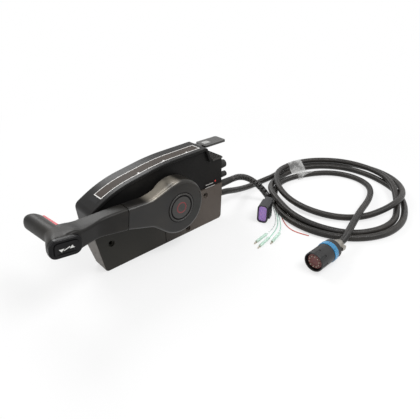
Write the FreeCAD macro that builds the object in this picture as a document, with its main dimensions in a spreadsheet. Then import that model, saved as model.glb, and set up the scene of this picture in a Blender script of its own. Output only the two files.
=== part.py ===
import FreeCAD, Part
import math
import os
import re
from types import SimpleNamespace
from FreeCAD import Placement, Rotation, Vector

# Side-mount throttle and shift control. The origin is on the mounting face, on the lever's pivot.
# +X runs to the cable end, +Y into the wall behind the mounting face, +Z up.

doc = FreeCAD.newDocument("control_box")

# Driving dimensions, mm and degrees

SIZES = {
    # Case outline, measured from the pivot
    "case_depth": 46.0, "base_drop": 86.0, "base_left": 136.0, "base_right": 129.0,
    "waist_left": 146.5, "waist_left_drop": 17.0, "waist_right": 131.0, "waist_right_drop": 35.0,
    "nose_left": 149.6, "nose_rise": 30.6, "nose_radius": 12.0,
    "brow_left": 103.6, "brow_rise": 56.1, "brow_radius": 200.0,
    "crown_left": 8.7, "crown_rise": 72.9, "crown_radius": 400.0,
    "shoulder_right": 90.0, "shoulder_rise": 75.4, "shoulder_radius": 5.0,
    "step_left": 101.0, "step_right": 132.0, "step_rise": 44.0, "step_radius": 4.0,
    "base_radius": 7.0, "split_drop": 8.0, "split_gap": 0.3,
    "taper_drop": 47.0, "taper_depth": 15.0,
    # Case walls
    "rear_wall": 3.0, "hood_wall": 3.0, "hood_gap": 0.2, "cover_thickness": 6.0, "hood_setback": 3.0,
    "rim_width": 5.0, "rim_proud": 3.0, "cover_edge": 1.4, "hood_edge": 1.2,
    "groove_x": -12.0, "groove_width": 1.4, "groove_depth": 1.6, "bearing_disc_radius": 44.0,
    # Mounting holes: two in the waist and one in the foot
    "mount_bore_radius": 3.5, "mount_boss_radius": 6.6, "mount_counterbore_radius": 5.8,
    "mount_counterbore_depth": 2.6, "mount_a_x": -120.0, "mount_a_z": -35.5, "mount_b_x": 87.0,
    "mount_b_z": -21.0, "mount_c_x": 41.0, "mount_c_z": -76.5,
    # Inlay and cap on the hood
    "strip_left": 124.0, "strip_right": 80.0, "strip_front": 40.0, "strip_back": 18.0,
    "strip_thickness": 1.0, "strip_recess": 0.9,
    "end_cap_thickness": 3.0, "end_cap_rib": 1.0, "end_cap_ribs": 6, "end_cap_margin": 2.0,
    # Lever
    "lever_tilt": 8.0, "hub_radius": 49.5, "hub_back": 50.0, "hub_front": 80.5, "hub_round": 6.0,
    "arm_back": 56.5, "arm_top": 20.8, "arm_bottom": 16.5, "arm_round": 5.0, "seam_reach": 103.4,
    "seam_gap": 0.4, "neck_top_reach": 62.0, "neck_top_rise": 24.8, "neck_top_radius": 60.0,
    "neck_low_reach": 54.0, "neck_low_drop": 24.6, "neck_low_radius": 30.0,
    "neck_top_slope": 26.0, "neck_low_slope": 32.0,
    "grip_reach": 213.0, "grip_radius": 18.0, "grip_end_radius": 11.0, "grip_back": 1.0,
    "grip_front": 97.0, "grip_straight": 66.0, "knuckle_reach": 150.0,
    "tongue_reach": 146.0, "tongue_half": 8.0, "tongue_lift": 6.0, "tongue_depth": 12.0,
    "bezel_length": 46.0, "bezel_height": 28.0, "bezel_thickness": 7.0, "bezel_corner": 11.0,
    "rocker_length": 33.0, "rocker_height": 19.0, "rocker_corner": 6.0, "rocker_proud": 1.5,
    "rocker_depth": 9.0, "rocker_gap": 0.6, "rocker_well": 5.0, "rocker_pin_radius": 1.5,
    "rocker_crown": 90.0,
    "cap_radius": 26.0, "cap_recess_radius": 27.3, "cap_recess_depth": 9.0, "cap_thickness": 3.4,
    "cap_ring": 2.6, "cap_ring_depth": 0.8, "cap_lip": 1.2,
    # Lock release in the grip
    "trigger_reach": 188.5, "trigger_width": 9.0, "trigger_height": 13.0, "trigger_back": 4.0,
    "trigger_front": 45.0, "trigger_travel": 4.0, "trigger_tail": 6.0, "trigger_slot_gap": 0.4, "trigger_round": 3.0,
    "rod_radius": 2.0, "rod_gap": 0.4, "rod_y": 68.0, "rod_reach": 48.0,
    # Drive train
    "shaft_radius": 9.0, "bush_wall": 3.0, "bush_gap": 0.05, "bush_rear_length": 6.0,
    "gear_module": 2.0, "gear_backlash": 0.35, "gear_face": 8.0, "gear_y": 22.0,
    "drive_teeth": 24, "throttle_teeth": 36, "shift_teeth": 32, "pressure_angle": 20.0,
    "throttle_line": 196.5, "shift_line": 20.0,
    "axle_radius": 4.0, "axle_gap": 0.05, "axle_front": 39.0, "axle_socket": 3.0,
    "gear_hub_radius": 8.0, "drum_radius": 30.0, "drum_face": 7.5, "arm_plate": 3.0, "arm_y": 15.0,
    "throttle_arm_length": 40.0, "throttle_arm_angle": 130.0, "shift_arm_length": 34.0,
    "shift_arm_angle": -60.0, "link_hub_radius": 9.0, "link_end_radius": 6.0,
    "cable_pin_radius": 2.5, "cable_pin_length": 6.0,
    "detent_radius": 22.0, "detent_face": 4.0, "detent_y": 9.5, "detent_notch": 4.2,
    "roller_radius": 4.0, "roller_gap": 0.2, "spring_thickness": 0.9, "spring_length": 36.0,
    "friction_screw_radius": 3.0, "friction_y": 34.5,
    "shoe_thickness": 5.0, "shoe_height": 16.0, "shoe_width": 6.0, "shoe_gap": 0.3,
    "switch_length": 20.0, "switch_height": 12.0, "switch_depth": 14.0,
    "switch_left": -10.0, "switch_low": -40.0, "switch_button": 1.5, "switch_gap": 0.4,
    "anchor_length": 26.0, "anchor_height": 24.0, "anchor_depth": 20.0, "anchor_left": 94.0,
    "anchor_low": -79.5, "anchor_groove": 3.6,
    # Fast idle lever on two ears of the hood
    "idle_left": 103.0, "idle_right": 156.0, "idle_back": 0.0, "idle_front": 29.0, "idle_z": 66.5,
    "idle_thickness": 4.0, "idle_corner": 4.0, "idle_pin_radius": 1.75, "idle_pivot_x": 98.0,
    "idle_ear": 4.0, "idle_ear_gap": 0.3, "idle_knuckle": 3.6, "idle_ear_spread": 20.0,
    "idle_ear_back": 4.5, "idle_ear_root": 91.5,
    # Cable end
    "exit_y": 23.0, "lead_z": -45.0, "branch_z": -25.0, "low_spare_z": -4.0, "spare_z": 19.0,
    "lead_radius": 6.6, "branch_radius": 6.8, "tail_radius": 3.5, "boot_flange": 1.5,
    "lead_boot": 12.0, "branch_boot": 46.0, "low_spare_boot": 30.0, "spare_boot": 26.0,
    "low_spare_radius": 5.6, "spare_radius": 8.0,
    # Free harness
    "coil_x": 388.0, "coil_y": -150.0, "coil_height": 29.0, "coil_margin": 1.5,
    "tie_angle": 76.0, "tie_width": 42.0, "tie_wall": 1.0, "tie_inner": 92.0, "stack_inset": 1.0,
    # Round connector
    "plug_face_x": 116.0, "plug_y": -277.0, "plug_radius": 17.5, "plug_shell_length": 38.0,
    "plug_wall": 2.2, "plug_well": 16.0, "plug_insert_radius": 13.2, "plug_insert_height": 5.0,
    "plug_ring_radius": 18.6, "plug_ring_wall": 3.4, "plug_ring_length": 10.0, "plug_ring_gap": 0.08,
    "plug_ring_lift": 0.3, "plug_neck_radius": 13.0, "plug_pins": 10, "plug_pin_circle": 9.4,
    "plug_pin_radius": 0.9, "plug_pin_length": 7.0, "plug_nut_length": 10.0, "plug_nut_cone": 3.0,
    "plug_clamp_length": 20.0, "plug_clamp_lug": 7.0, "plug_ribs": 8, "plug_rib_depth": 1.0,
    "plug_rib_length": 14.0, "plug_rib_start": 2.0, "plug_notches": 24, "plug_notch": 1.2,
    # Branch connector
    "socket_x": 176.0, "socket_y": -112.0, "socket_z": -69.5, "socket_width": 31.0,
    "socket_height": 17.0, "socket_length": 24.0, "socket_corner": 6.0, "socket_seal": 1.6,
    "socket_wall": 2.0, "socket_latch": 3.0, "socket_yaw": 4.0,
    "wire_radius": 1.0, "terminal_radius": 1.9, "terminal_sleeve": 7.0, "terminal_length": 6.0,
    "terminal_bullet": 1.4,
    # Small parts of the mechanism
    "bezel_round": 2.4, "rocker_pin_length": 26.0, "rocker_dish": 1.4, "rocker_rim": 2.5,
    "cap_edge": 1.0, "bolt_head_radius": 8.6, "bolt_head_height": 3.6, "bolt_radius": 5.0,
    "washer_radius": 12.0, "washer_thickness": 1.6, "gear_addendum": 0.85, "gear_dedendum": 1.15,
    "gear_flank_steps": 3, "gear_holes": 5, "neutral_turn": 75.0, "detent_step": 32.0,
    "roller_pin_radius": 1.2, "spring_foot": 6.0, "friction_sink": 0.6, "slot_width": 1.2,
    "anchor_lift": 17.0, "boot_gap": 0.15, "branch_lean": 0.8, "case_post_radius": 5.0, "case_screw_radius": 1.8,
    "case_screw_head": 3.2, "case_screw_sink": 2.0, "case_screw_length": 26.0, "bolt_length": 14.0,
    "marker_radius": 1.9, "marker_x": 115.0, "marker_z": 0.5, "marker_proud": 0.5,
    # Turns of the loose coil: mean radius, sideways shift and oval, each with its direction
    "turn_a_mean": 144.5, "turn_a_fan": 33.7, "turn_a_way": 24.0, "turn_a_oval": 6.3, "turn_a_long": 20.0,
    "turn_b_mean": 152.1, "turn_b_fan": 2.7, "turn_b_way": 102.0, "turn_b_oval": 15.4, "turn_b_long": 29.0,
    "turn_c_mean": 153.2, "turn_c_fan": 21.8, "turn_c_way": 218.0, "turn_c_oval": 18.9, "turn_c_long": 38.0,
    "coil_layer": 14.6, "stack_from": -75.0, "stack_to": 135.0,
}

sheet = doc.addObject("Spreadsheet::Sheet", "Sizes")
for row, (alias, value) in enumerate(SIZES.items(), start=1):
    sheet.set(f"A{row}", alias)
    sheet.set(f"B{row}", str(value))
    sheet.setAlias(f"B{row}", alias)
doc.recompute()

s = SimpleNamespace(**{alias: float(sheet.get(alias)) for alias in SIZES})

XZ = "XZ_Plane"
XY = "XY_Plane"
YZ = "YZ_Plane"
ORIGIN = Vector(0, 0, 0)
SPIN_Y = Vector(0, 1, 0)


# Document helpers

def bind(item, target, formula):
    """Drives a property from the sheet."""
    item.setExpression(target, re.sub(r"[a-z]\w*", lambda m: "Sizes." + m.group(0), formula))


def start_body(label):
    item = doc.addObject("PartDesign::Body", label)
    item.Label = label
    return item


def sketch_on(owner, role, curves, lift="0"):
    """A sketch on one of the body's own planes, lifted along the plane's normal."""
    plane = next(f for f in owner.Origin.OriginFeatures if f.Role == role)
    drawing = owner.newObject("Sketcher::SketchObject", owner.Name + "_sketch")
    drawing.AttachmentSupport = [(plane, "")]
    drawing.MapMode = "FlatFace"
    drawing.addGeometry(curves, False)
    if lift != "0":
        bind(drawing, "AttachmentOffset.Base.z", lift)
    return drawing


def pad(owner, role, curves, length, lift="0", both=False, back=False):
    feature = owner.newObject("PartDesign::Pad", owner.Name + "_pad")
    feature.Profile = sketch_on(owner, role, curves, lift)
    feature.Midplane = both
    feature.Reversed = back
    bind(feature, "Length", length)
    return feature


def pocket(owner, role, curves, length, lift="0", both=False, back=False):
    """Cuts along the plane's normal, or against it when back is set."""
    feature = owner.newObject("PartDesign::Pocket", owner.Name + "_pocket")
    feature.Profile = sketch_on(owner, role, curves, lift)
    feature.Midplane = both
    feature.Reversed = not back
    bind(feature, "Length", length)
    return feature


def revolve(owner, curves, axis="V_Axis", role=XY):
    feature = owner.newObject("PartDesign::Revolution", owner.Name + "_turned")
    drawing = sketch_on(owner, role, curves)
    feature.Profile = drawing
    feature.ReferenceAxis = (drawing, [axis])
    feature.Angle = 360.0
    return feature


def round_edges(owner, picks, radius):
    """Fillets the edges of the tip that the test picks."""
    doc.recompute()
    tip = owner.Tip
    names = [f"Edge{i}" for i, edge in enumerate(tip.Shape.Edges, start=1) if picks(edge)]
    feature = owner.newObject("PartDesign::Fillet", owner.Name + "_round")
    feature.Base = (tip, names)
    bind(feature, "Radius", radius)
    return feature


def place(item, x=0.0, y=0.0, z=0.0, axis=SPIN_Y, angle=0.0):
    item.Placement = Placement(Vector(x, y, z), Rotation(axis, angle))
    return item


def tilt(item):
    """Turns a piece drawn on a level lever to the lever's stop."""
    place(item, angle=s.lever_tilt)
    bind(item, "Placement.Rotation.Angle", "lever_tilt")
    return item


def feature_of(label, shape):
    item = doc.addObject("Part::Feature", label)
    item.Label = label
    item.Shape = shape
    return item


# Outline helpers, in a sketch's own plane

def line_cross(a, b, c, d):
    """The point where line a-b meets line c-d."""
    r, q = b - a, d - c
    along = (c - a).cross(q).z / r.cross(q).z
    return a + r * along


def shift(corners, inset, closed=True):
    """Moves every side to the right of its direction by inset; rounds change with it."""
    count = len(corners)
    points = [Vector(x, z, 0) for x, z, _ in corners]
    sides = []
    for i in range(count if closed else count - 1):
        a, b = points[i], points[(i + 1) % count]
        across = (b - a).normalize().cross(Vector(0, 0, 1)) * inset
        sides.append((a + across, b + across))
    moved = []
    for i, (x, z, radius) in enumerate(corners):
        if not closed and i == 0:
            point = sides[0][0]
        elif not closed and i == count - 1:
            point = sides[-1][1]
        else:
            point = line_cross(*sides[i - 1], *sides[i])
        before, after = points[i] - points[i - 1], points[(i + 1) % count] - points[i]
        turn = 1 if before.cross(after).z < 0 else -1
        moved.append((point.x, point.y, max(radius - turn * inset, 0.0) if radius else 0.0))
    return moved


def outline(corners):
    """A closed run of lines and tangent arcs through corners given as x, z, radius."""
    count = len(corners)
    points = [Vector(x, z, 0) for x, z, _ in corners]
    joints = []
    for i, (_, _, radius) in enumerate(corners):
        here, back, ahead = points[i], points[i - 1], points[(i + 1) % count]
        to_back, to_ahead = (back - here).normalize(), (ahead - here).normalize()
        half = to_back.getAngle(to_ahead) / 2
        if radius <= 0:
            joints.append((here, here, here))
            continue
        reach = radius / math.tan(half)
        middle = here + (to_back + to_ahead).normalize() * (radius / math.sin(half) - radius)
        joints.append((here + to_back * reach, middle, here + to_ahead * reach))
    curves = []
    for i, (enter, middle, leave) in enumerate(joints):
        if (enter - leave).Length > 1e-6:
            curves.append(Part.Arc(enter, middle, leave))
        following = joints[(i + 1) % count][0]
        if (following - leave).Length > 1e-6:
            curves.append(Part.LineSegment(leave, following))
    return curves


def ring(x, z, radius):
    return [Part.Circle(Vector(x, z, 0), Vector(0, 0, 1), radius)]


def box_outline(left, low, right, high, corner=0.0):
    return outline([(left, low, corner), (left, high, corner), (right, high, corner), (right, low, corner)])


def band(path, thickness):
    """A closed strip below an open path that runs to the right."""
    return path + list(reversed(shift(path, thickness, closed=False)))


# Case outlines, clockwise as the front shows them, from the foot of the left end

split = -s.split_drop


def side_x(z):
    """How far left the case reaches at a height under the nose."""
    if z < -s.waist_left_drop:
        part = (z + s.base_drop) / (s.base_drop - s.waist_left_drop)
        return -s.base_left - (s.waist_left - s.base_left) * part
    part = (z + s.waist_left_drop) / (s.nose_rise + s.waist_left_drop)
    return -s.waist_left - (s.nose_left - s.waist_left) * part


crown_path = [
    (-s.brow_left, s.brow_rise, s.brow_radius),
    (-s.crown_left, s.crown_rise, s.crown_radius),
]
upper_path = [
    (-s.nose_left, s.nose_rise, s.nose_radius),
    *crown_path,
    (s.shoulder_right, s.shoulder_rise, s.shoulder_radius),
    (s.step_left, s.step_rise, s.step_radius),
    (s.step_right, s.step_rise, s.step_radius),
]
lower_left = [(-s.base_left, -s.base_drop, s.base_radius), (-s.waist_left, -s.waist_left_drop, 0)]
lower_right = [
    (s.waist_right, -s.waist_right_drop, 0),
    (s.base_right, -s.base_drop, s.base_radius),
]
case_corners = lower_left + upper_path + lower_right
cover_line = split - s.split_gap
lower_corners = lower_left + [(side_x(cover_line), cover_line, 0), (s.step_right, cover_line, 0)] + lower_right
upper_corners = [(side_x(split), split, 0), *upper_path, (s.step_right, split, 0)]
mounts = [(s.mount_a_x, s.mount_a_z), (s.mount_b_x, s.mount_b_z), (s.mount_c_x, s.mount_c_z)]
EXITS = [(s.spare_z, s.spare_radius), (s.low_spare_z, s.low_spare_radius), (s.branch_z, s.branch_radius),
         (s.lead_z, s.lead_radius)]
screw_spots = [(-138.0, 14.0), (118.5, 36.0), (-133.5, -41.0), (112.0, -42.0)]

throttle_spacing = s.gear_module * (s.drive_teeth + s.throttle_teeth) / 2
shift_spacing = s.gear_module * (s.drive_teeth + s.shift_teeth) / 2


def polar(x, z, distance, degrees):
    angle = math.radians(degrees)
    return x + distance * math.cos(angle), z + distance * math.sin(angle)


throttle_x, throttle_z = polar(0, 0, throttle_spacing, s.throttle_line)
shift_x, shift_z = polar(0, 0, shift_spacing, s.shift_line)
hood_inset = s.hood_wall + s.hood_gap
rear_inset = hood_inset + s.rear_wall
cavity_depth = "case_depth - cover_thickness - rear_wall"
bush_radius = s.shaft_radius + s.bush_gap + s.bush_wall


# Case

def rear_housing():
    """The back shell: a tray with mounting tubes, bearing bosses and a slanted lower back."""
    item = start_body("rear_housing")
    tray = "case_depth - cover_thickness"
    pad(item, XZ, outline(shift(case_corners, hood_inset)), tray)
    pad(item, XZ, outline(lower_corners), tray)
    pocket(item, XZ, outline(shift(case_corners, rear_inset)), tray + " - rear_wall", "rear_wall")
    slope = (s.base_drop - s.taper_drop) / s.taper_depth
    drop = s.taper_drop - s.rear_wall
    slant_wall = [
        (0, -s.taper_drop, 0), (-s.taper_depth, -s.base_drop, 0),
        (-s.taper_depth - 1.2 * s.rear_wall, -s.base_drop, 0), (-s.rear_wall, -drop, 0), (0, -drop, 0),
    ]
    pad(item, YZ, outline(slant_wall), "base_left + base_right - 4 * rear_wall", both=True)
    for x, z in mounts:
        pad(item, XZ, ring(x, z, s.mount_boss_radius), tray)
    for x, z in screw_spots:
        pad(item, XZ, ring(x, z, s.case_post_radius), cavity_depth, "rear_wall")
    pad(item, XZ, ring(0, 0, bush_radius + s.rear_wall), "bush_rear_length", "rear_wall")
    for x, z in ((throttle_x, throttle_z), (shift_x, shift_z)):
        pad(item, XZ, ring(x, z, s.axle_radius + s.rear_wall), "axle_socket", "rear_wall")
    wedge = [
        (0, -s.taper_drop, 0), (-s.taper_depth, -s.base_drop, 0),
        (-s.taper_depth - 1 / slope, -s.base_drop - 1, 0), (s.rear_wall, -s.base_drop - 1, 0),
        (s.rear_wall, -s.taper_drop, 0),
    ]
    pocket(item, YZ, outline(wedge), "2 * nose_left", both=True)
    for x, z in mounts:
        pocket(item, XZ, ring(x, z, s.mount_bore_radius), "case_depth")
    for x, z in screw_spots:
        pocket(item, XZ, ring(x, z, s.case_screw_head), "case_screw_sink")
        pocket(item, XZ, ring(x, z, s.case_screw_radius), "case_screw_length")
    pocket(item, XZ, ring(0, 0, bush_radius), "bush_rear_length", "rear_wall")
    for x, z in ((throttle_x, throttle_z), (shift_x, shift_z)):
        pocket(item, XZ, ring(x, z, s.axle_radius), "axle_socket", "rear_wall")
    for z, radius in EXITS:
        pocket(item, YZ, ring(-s.exit_y, z, radius + s.boot_flange), "base_right", "base_right / 2")
    pocket(item, YZ, ring(-s.friction_y, throttle_z, s.friction_screw_radius), "waist_left / 4",
           "-waist_left - rear_wall")
    return item


def joined(first, second):
    """The outline round two overlapping outlines, as sketch curves in order."""
    up = Vector(0, 0, 1)
    one, other = (Part.Face(Part.Wire([c.toShape() for c in curves])).extrude(up) for curves in (first, second))
    face = min(one.fuse(other).removeSplitter().Faces, key=lambda f: f.CenterOfMass.z)
    curves = []
    for edge in Part.__sortEdges__(face.OuterWire.Edges):
        if isinstance(edge.Curve, Part.Line):
            ends = [v.Point for v in edge.Vertexes]
            curves.append(Part.LineSegment(ends[0], ends[1]))
        else:
            curves.append(Part.Arc(
                edge.valueAt(edge.FirstParameter),
                edge.valueAt((edge.FirstParameter + edge.LastParameter) / 2),
                edge.valueAt(edge.LastParameter)))
    return curves


def front_cover():
    """The lower front cover, with a bearing disc behind the hub and counterbored mounting holes."""
    item = start_body("front_cover")
    depth = "case_depth - cover_thickness"
    plate = joined(outline(lower_corners), ring(0, 0, s.bearing_disc_radius))
    pad(item, XZ, plate, "cover_thickness", depth)
    front = -s.case_depth

    def outer_rim(edge):
        box = edge.BoundBox
        return box.YMax < front + 1e-3 and box.ZMax < split - 1

    round_edges(item, outer_rim, "cover_edge")
    for x, z in mounts:
        pocket(item, XZ, ring(x, z, s.mount_bore_radius), "cover_thickness", depth)
        pocket(item, XZ, ring(x, z, s.mount_counterbore_radius), "mount_counterbore_depth",
               "case_depth - mount_counterbore_depth")
    pocket(item, XZ, ring(0, 0, bush_radius), "cover_thickness", depth)
    groove = box_outline(s.groove_x - s.groove_width / 2, -s.base_drop,
                         s.groove_x + s.groove_width / 2, -s.bearing_disc_radius)
    pocket(item, XZ, groove, "groove_depth", "case_depth - groove_depth")
    return item


def strip_corners(drop):
    """The inlay's path along the crown, drop below it."""
    first, second = crown_path
    rise_left = (first[1] - s.nose_rise) / (s.nose_left - s.brow_left)
    rise_right = (s.shoulder_rise - s.crown_rise) / (s.shoulder_right + s.crown_left)
    start = (-s.strip_left, first[1] - rise_left * (s.strip_left - s.brow_left), 0)
    end = (s.strip_right, second[1] + rise_right * (s.strip_right + s.crown_left), 0)
    return shift([start, first, second, end], drop, closed=False)


def top_hood():
    """The glossy hood: a cap over the back shell with a rim round its front edge."""
    item = start_body("top_hood")
    pad(item, XZ, outline(upper_corners), "case_depth - hood_setback")
    rim = band([(side_x(0), 0, 0), *upper_path[:4], (s.step_left, s.step_rise + s.step_radius, 0)], s.rim_width)
    pad(item, XZ, outline(rim), "hood_setback + rim_proud", "case_depth - hood_setback")
    front = -(s.case_depth + s.rim_proud)
    round_edges(item, lambda e: e.BoundBox.YMax < front + 1e-3 and e.Length > s.rim_width * 2, "hood_edge")
    low, high = s.idle_z - s.idle_knuckle, s.idle_z + s.idle_knuckle
    for lift in ("idle_ear_back", "idle_ear_back + idle_ear_spread - idle_ear"):
        pad(item, XZ, box_outline(s.idle_ear_root, low, s.idle_pivot_x, high), "idle_ear", lift)
        pad(item, XZ, ring(s.idle_pivot_x, s.idle_z, s.idle_knuckle), "idle_ear", lift)
    pocket(item, XZ, outline(shift(case_corners, s.hood_wall)), "case_depth - hood_setback - hood_wall")
    disc = s.bearing_disc_radius + s.split_gap
    pocket(item, XZ, ring(0, 0, disc), "case_depth")
    strip = band(strip_corners(-s.strip_thickness), s.strip_thickness + s.strip_recess)
    pocket(item, XZ, outline(strip), "strip_front - strip_back + 2 * split_gap", "strip_back - split_gap")
    for z, radius in EXITS[:2]:
        pocket(item, YZ, ring(-s.exit_y, z, radius + s.boot_flange), "step_right", "step_right / 2")
    pocket(item, XZ, ring(s.idle_pivot_x, s.idle_z, s.idle_pin_radius), "idle_ear_spread", "idle_ear_back")
    return item


def scale_strip():
    item = start_body("scale_strip")
    strip = band(strip_corners(s.strip_recess - s.strip_thickness), s.strip_thickness)
    pad(item, XZ, outline(strip), "strip_front - strip_back", "strip_back")
    return item


def end_cap():
    """The ribbed cap on the step beside the hood."""
    item = start_body("end_cap")
    left, right = s.step_left + s.step_radius + s.end_cap_margin, s.step_right
    low, high = s.step_rise, s.step_rise + s.end_cap_thickness
    pad(item, XZ, box_outline(left, low, right, high), "case_depth - end_cap_margin", "end_cap_margin / 2")
    pitch = (right - left) / s.end_cap_ribs
    rib = box_outline(left + pitch / 4, high, left + 3 * pitch / 4, high + s.end_cap_rib)
    feature = pad(item, XZ, rib, "case_depth - 3 * end_cap_margin", "1.5 * end_cap_margin")
    doc.recompute()
    row = item.newObject("PartDesign::LinearPattern", "end_cap_row")
    row.Originals = [feature]
    row.Direction = (feature.Profile[0], ["H_Axis"])
    bind(row, "Occurrences", "end_cap_ribs")
    row.Length = pitch * (s.end_cap_ribs - 1)
    item.Tip = row
    return item


# Lever

def lever_outline():
    """Front view of the level lever from the hub to the seam."""
    high, low = math.radians(s.neck_top_slope), math.radians(s.neck_low_slope)
    top = (-s.hub_radius * math.sin(high), s.hub_radius * math.cos(high), 0)
    bottom = (-s.hub_radius * math.sin(low), -s.hub_radius * math.cos(low), 0)
    return [
        (0, 0, 0), bottom, (-s.neck_low_reach, -s.neck_low_drop, s.neck_low_radius),
        (-s.seam_reach, -s.arm_bottom, 0), (-s.seam_reach, s.arm_top, 0),
        (-s.neck_top_reach, s.neck_top_rise, s.neck_top_radius), top,
    ]


def tongue_outline():
    """The casting's tongue, and the socket it fills in the handle."""
    return box_outline(-s.tongue_reach, -s.tongue_half, -s.seam_reach + s.tongue_lift, s.tongue_half)


def lever_casting():
    """The hub and the first half of the arm, one casting on the main shaft."""
    item = start_body("lever_casting")
    hub = ring(0, 0, s.hub_radius)
    pad(item, XZ, joined(outline(lever_outline()), hub), "hub_front - arm_back", "arm_back")
    pad(item, XZ, hub, "arm_back - hub_back", "hub_back")
    front = -s.hub_front

    def rim(edge):
        box = edge.BoundBox
        return box.YMax < front + 1e-3 and box.XMax > -s.seam_reach + 1e-3

    round_edges(item, rim, "hub_round")
    pad(item, XZ, tongue_outline(), "tongue_depth", "arm_back + tongue_lift")
    pocket(item, XZ, ring(0, 0, s.cap_recess_radius), "cap_recess_depth", "hub_front - cap_recess_depth")
    pocket(item, XZ, ring(0, 0, s.shaft_radius), "hub_front - hub_back", "hub_back")
    pocket(item, YZ, ring(-s.rod_y, 0, s.rod_radius + s.rod_gap), "tongue_reach - rod_reach + rod_gap",
           "-tongue_reach")
    return tilt(item)


def handle_shell():
    """The outer arm and the grip, moulded in one over the casting's tongue."""
    reach, half = s.grip_reach, s.bezel_height / 2
    side = outline([
        (-s.seam_reach - s.seam_gap, -s.arm_bottom, 0), (-reach + s.grip_radius, -s.arm_bottom, 20),
        (-reach, -half, 0), (-reach, half, 0), (-reach + s.grip_radius, s.arm_top - 2, 20),
        (-s.seam_reach - s.seam_gap, s.arm_top, 0),
    ])
    item = start_body("handle_arm")
    pad(item, XZ, side, "grip_front - arm_back", "arm_back")
    face = s.grip_front + s.bezel_thickness
    knuckle = outline([
        (-s.seam_reach, -s.hub_front, 0), (-s.knuckle_reach, -s.hub_front, 60),
        (-reach + s.bezel_length / 2, -s.grip_front, 12), (-reach, -s.grip_front, 0),
        (-reach, -face, 0), (-s.seam_reach, -face, 0),
    ])
    pocket(item, XY, knuckle, "2 * hub_radius", both=True)

    def brow(edge):
        box = edge.BoundBox
        return box.XLength > s.arm_round and box.YMax < -s.hub_front + 1e-3 and box.XMin > -reach + s.grip_radius

    round_edges(item, brow, "arm_round")
    grip = start_body("handle_grip")
    back, front, radius = -s.grip_back, -s.grip_straight, s.grip_radius
    revolve(grip, outline([(0, back, 0), (radius, back, s.grip_end_radius), (radius, front, 0), (0, front, 0)]))
    place(grip, x=-reach)
    head = start_body("handle_head")
    length, height = s.bezel_length / 2, s.bezel_height / 2
    flare = head.newObject("PartDesign::AdditiveLoft", "handle_flare")
    flare.Profile = sketch_on(head, XZ, box_outline(-radius, -radius, radius, radius, radius - 0.5), "grip_straight")
    flare.Sections = [sketch_on(head, XZ, box_outline(-length, -height, length, height, s.bezel_corner), "grip_front")]
    place(head, x=-reach)
    joined = doc.addObject("Part::MultiFuse", "handle_solid")
    joined.Shapes = [item, grip, head]
    slot = start_body("handle_slot")
    inner = -s.trigger_reach - s.trigger_height - s.trigger_travel - s.trigger_slot_gap
    pad(slot, XY, box_outline(inner, -s.rod_y - s.trigger_tail / 2 - s.trigger_slot_gap, -s.trigger_reach + 1,
                              -s.trigger_back + s.trigger_slot_gap), "trigger_width + 2 * trigger_slot_gap", both=True)
    rod = start_body("handle_rod_way")
    pad(rod, YZ, ring(-s.rod_y, 0, s.rod_radius + s.rod_gap), "grip_reach - seam_reach", "-grip_reach")
    socket = start_body("handle_socket")
    pad(socket, XZ, tongue_outline(), "tongue_depth", "arm_back + tongue_lift")
    well = start_body("handle_well")
    wide, tall = s.rocker_length / 2 + s.rocker_gap + 0.5, s.rocker_height / 2 + s.rocker_gap
    pad(well, XZ, box_outline(-wide, -tall, wide, tall, s.rocker_corner), "rocker_well + 1", "grip_front - rocker_well")
    place(well, x=-reach)
    tools = doc.addObject("Part::MultiFuse", "handle_tools")
    tools.Shapes = [slot, rod, socket, well]
    cut = doc.addObject("Part::Cut", "handle_shell")
    cut.Label = "handle_shell"
    cut.Base, cut.Tool = joined, tools
    return tilt(cut)


def seat_at_grip(item):
    """Carries a piece drawn about the grip's axis to the tilted lever's end."""
    turn = Rotation(SPIN_Y, s.lever_tilt)
    item.Placement = Placement(turn.multVec(Vector(-s.grip_reach, 0, 0)), turn)
    return item


def trim_bezel():
    """The rounded frame round the rocker at the grip's near end."""
    item = start_body("trim_bezel")
    length, height = s.bezel_length / 2, s.bezel_height / 2
    pad(item, XZ, box_outline(-length, -height, length, height, s.bezel_corner), "bezel_thickness", "grip_front")
    front = -(s.grip_front + s.bezel_thickness)
    round_edges(item, lambda e: e.BoundBox.YMax < front + 1e-3, "bezel_round")
    wide, tall = s.rocker_length / 2 + s.rocker_gap, s.rocker_height / 2 + s.rocker_gap
    well = box_outline(-wide, -tall, wide, tall, s.rocker_corner)
    pocket(item, XZ, well, "bezel_thickness", "grip_front")
    axis_y = -s.grip_front - s.bezel_thickness / 2
    pocket(item, XY, ring(0, axis_y, s.rocker_pin_radius), "rocker_pin_length", both=True)
    return seat_at_grip(item)


def trim_rocker():
    """The trim switch key, dished along its length, on a pin across its middle."""
    item = start_body("trim_rocker")
    half, tall = s.rocker_length / 2, s.rocker_height / 2
    front = s.grip_front + s.bezel_thickness + s.rocker_proud
    face = box_outline(-half, -tall, half, tall, s.rocker_corner - s.rocker_gap)
    pad(item, XZ, face, "rocker_depth", "grip_front + bezel_thickness + rocker_proud - rocker_depth")
    axis_y = -s.grip_front - s.bezel_thickness / 2
    pocket(item, XY, ring(0, axis_y, s.rocker_pin_radius + s.bush_gap), "2 * rocker_height", both=True)
    pocket(item, XY, ring(0, s.rocker_dish - front - s.rocker_crown, s.rocker_crown),
           "rocker_height - 2 * rocker_rim", both=True)
    return seat_at_grip(item)


def rocker_pin():
    item = rod_piece("rocker_pin", "rocker_pin_radius", "rocker_pin_length")
    reach, y = s.grip_reach, -s.grip_front - s.bezel_thickness / 2
    turn = Rotation(SPIN_Y, s.lever_tilt)
    item.Placement = Placement(turn.multVec(Vector(-reach, y, -s.rocker_pin_length / 2)), turn)
    return item


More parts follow.
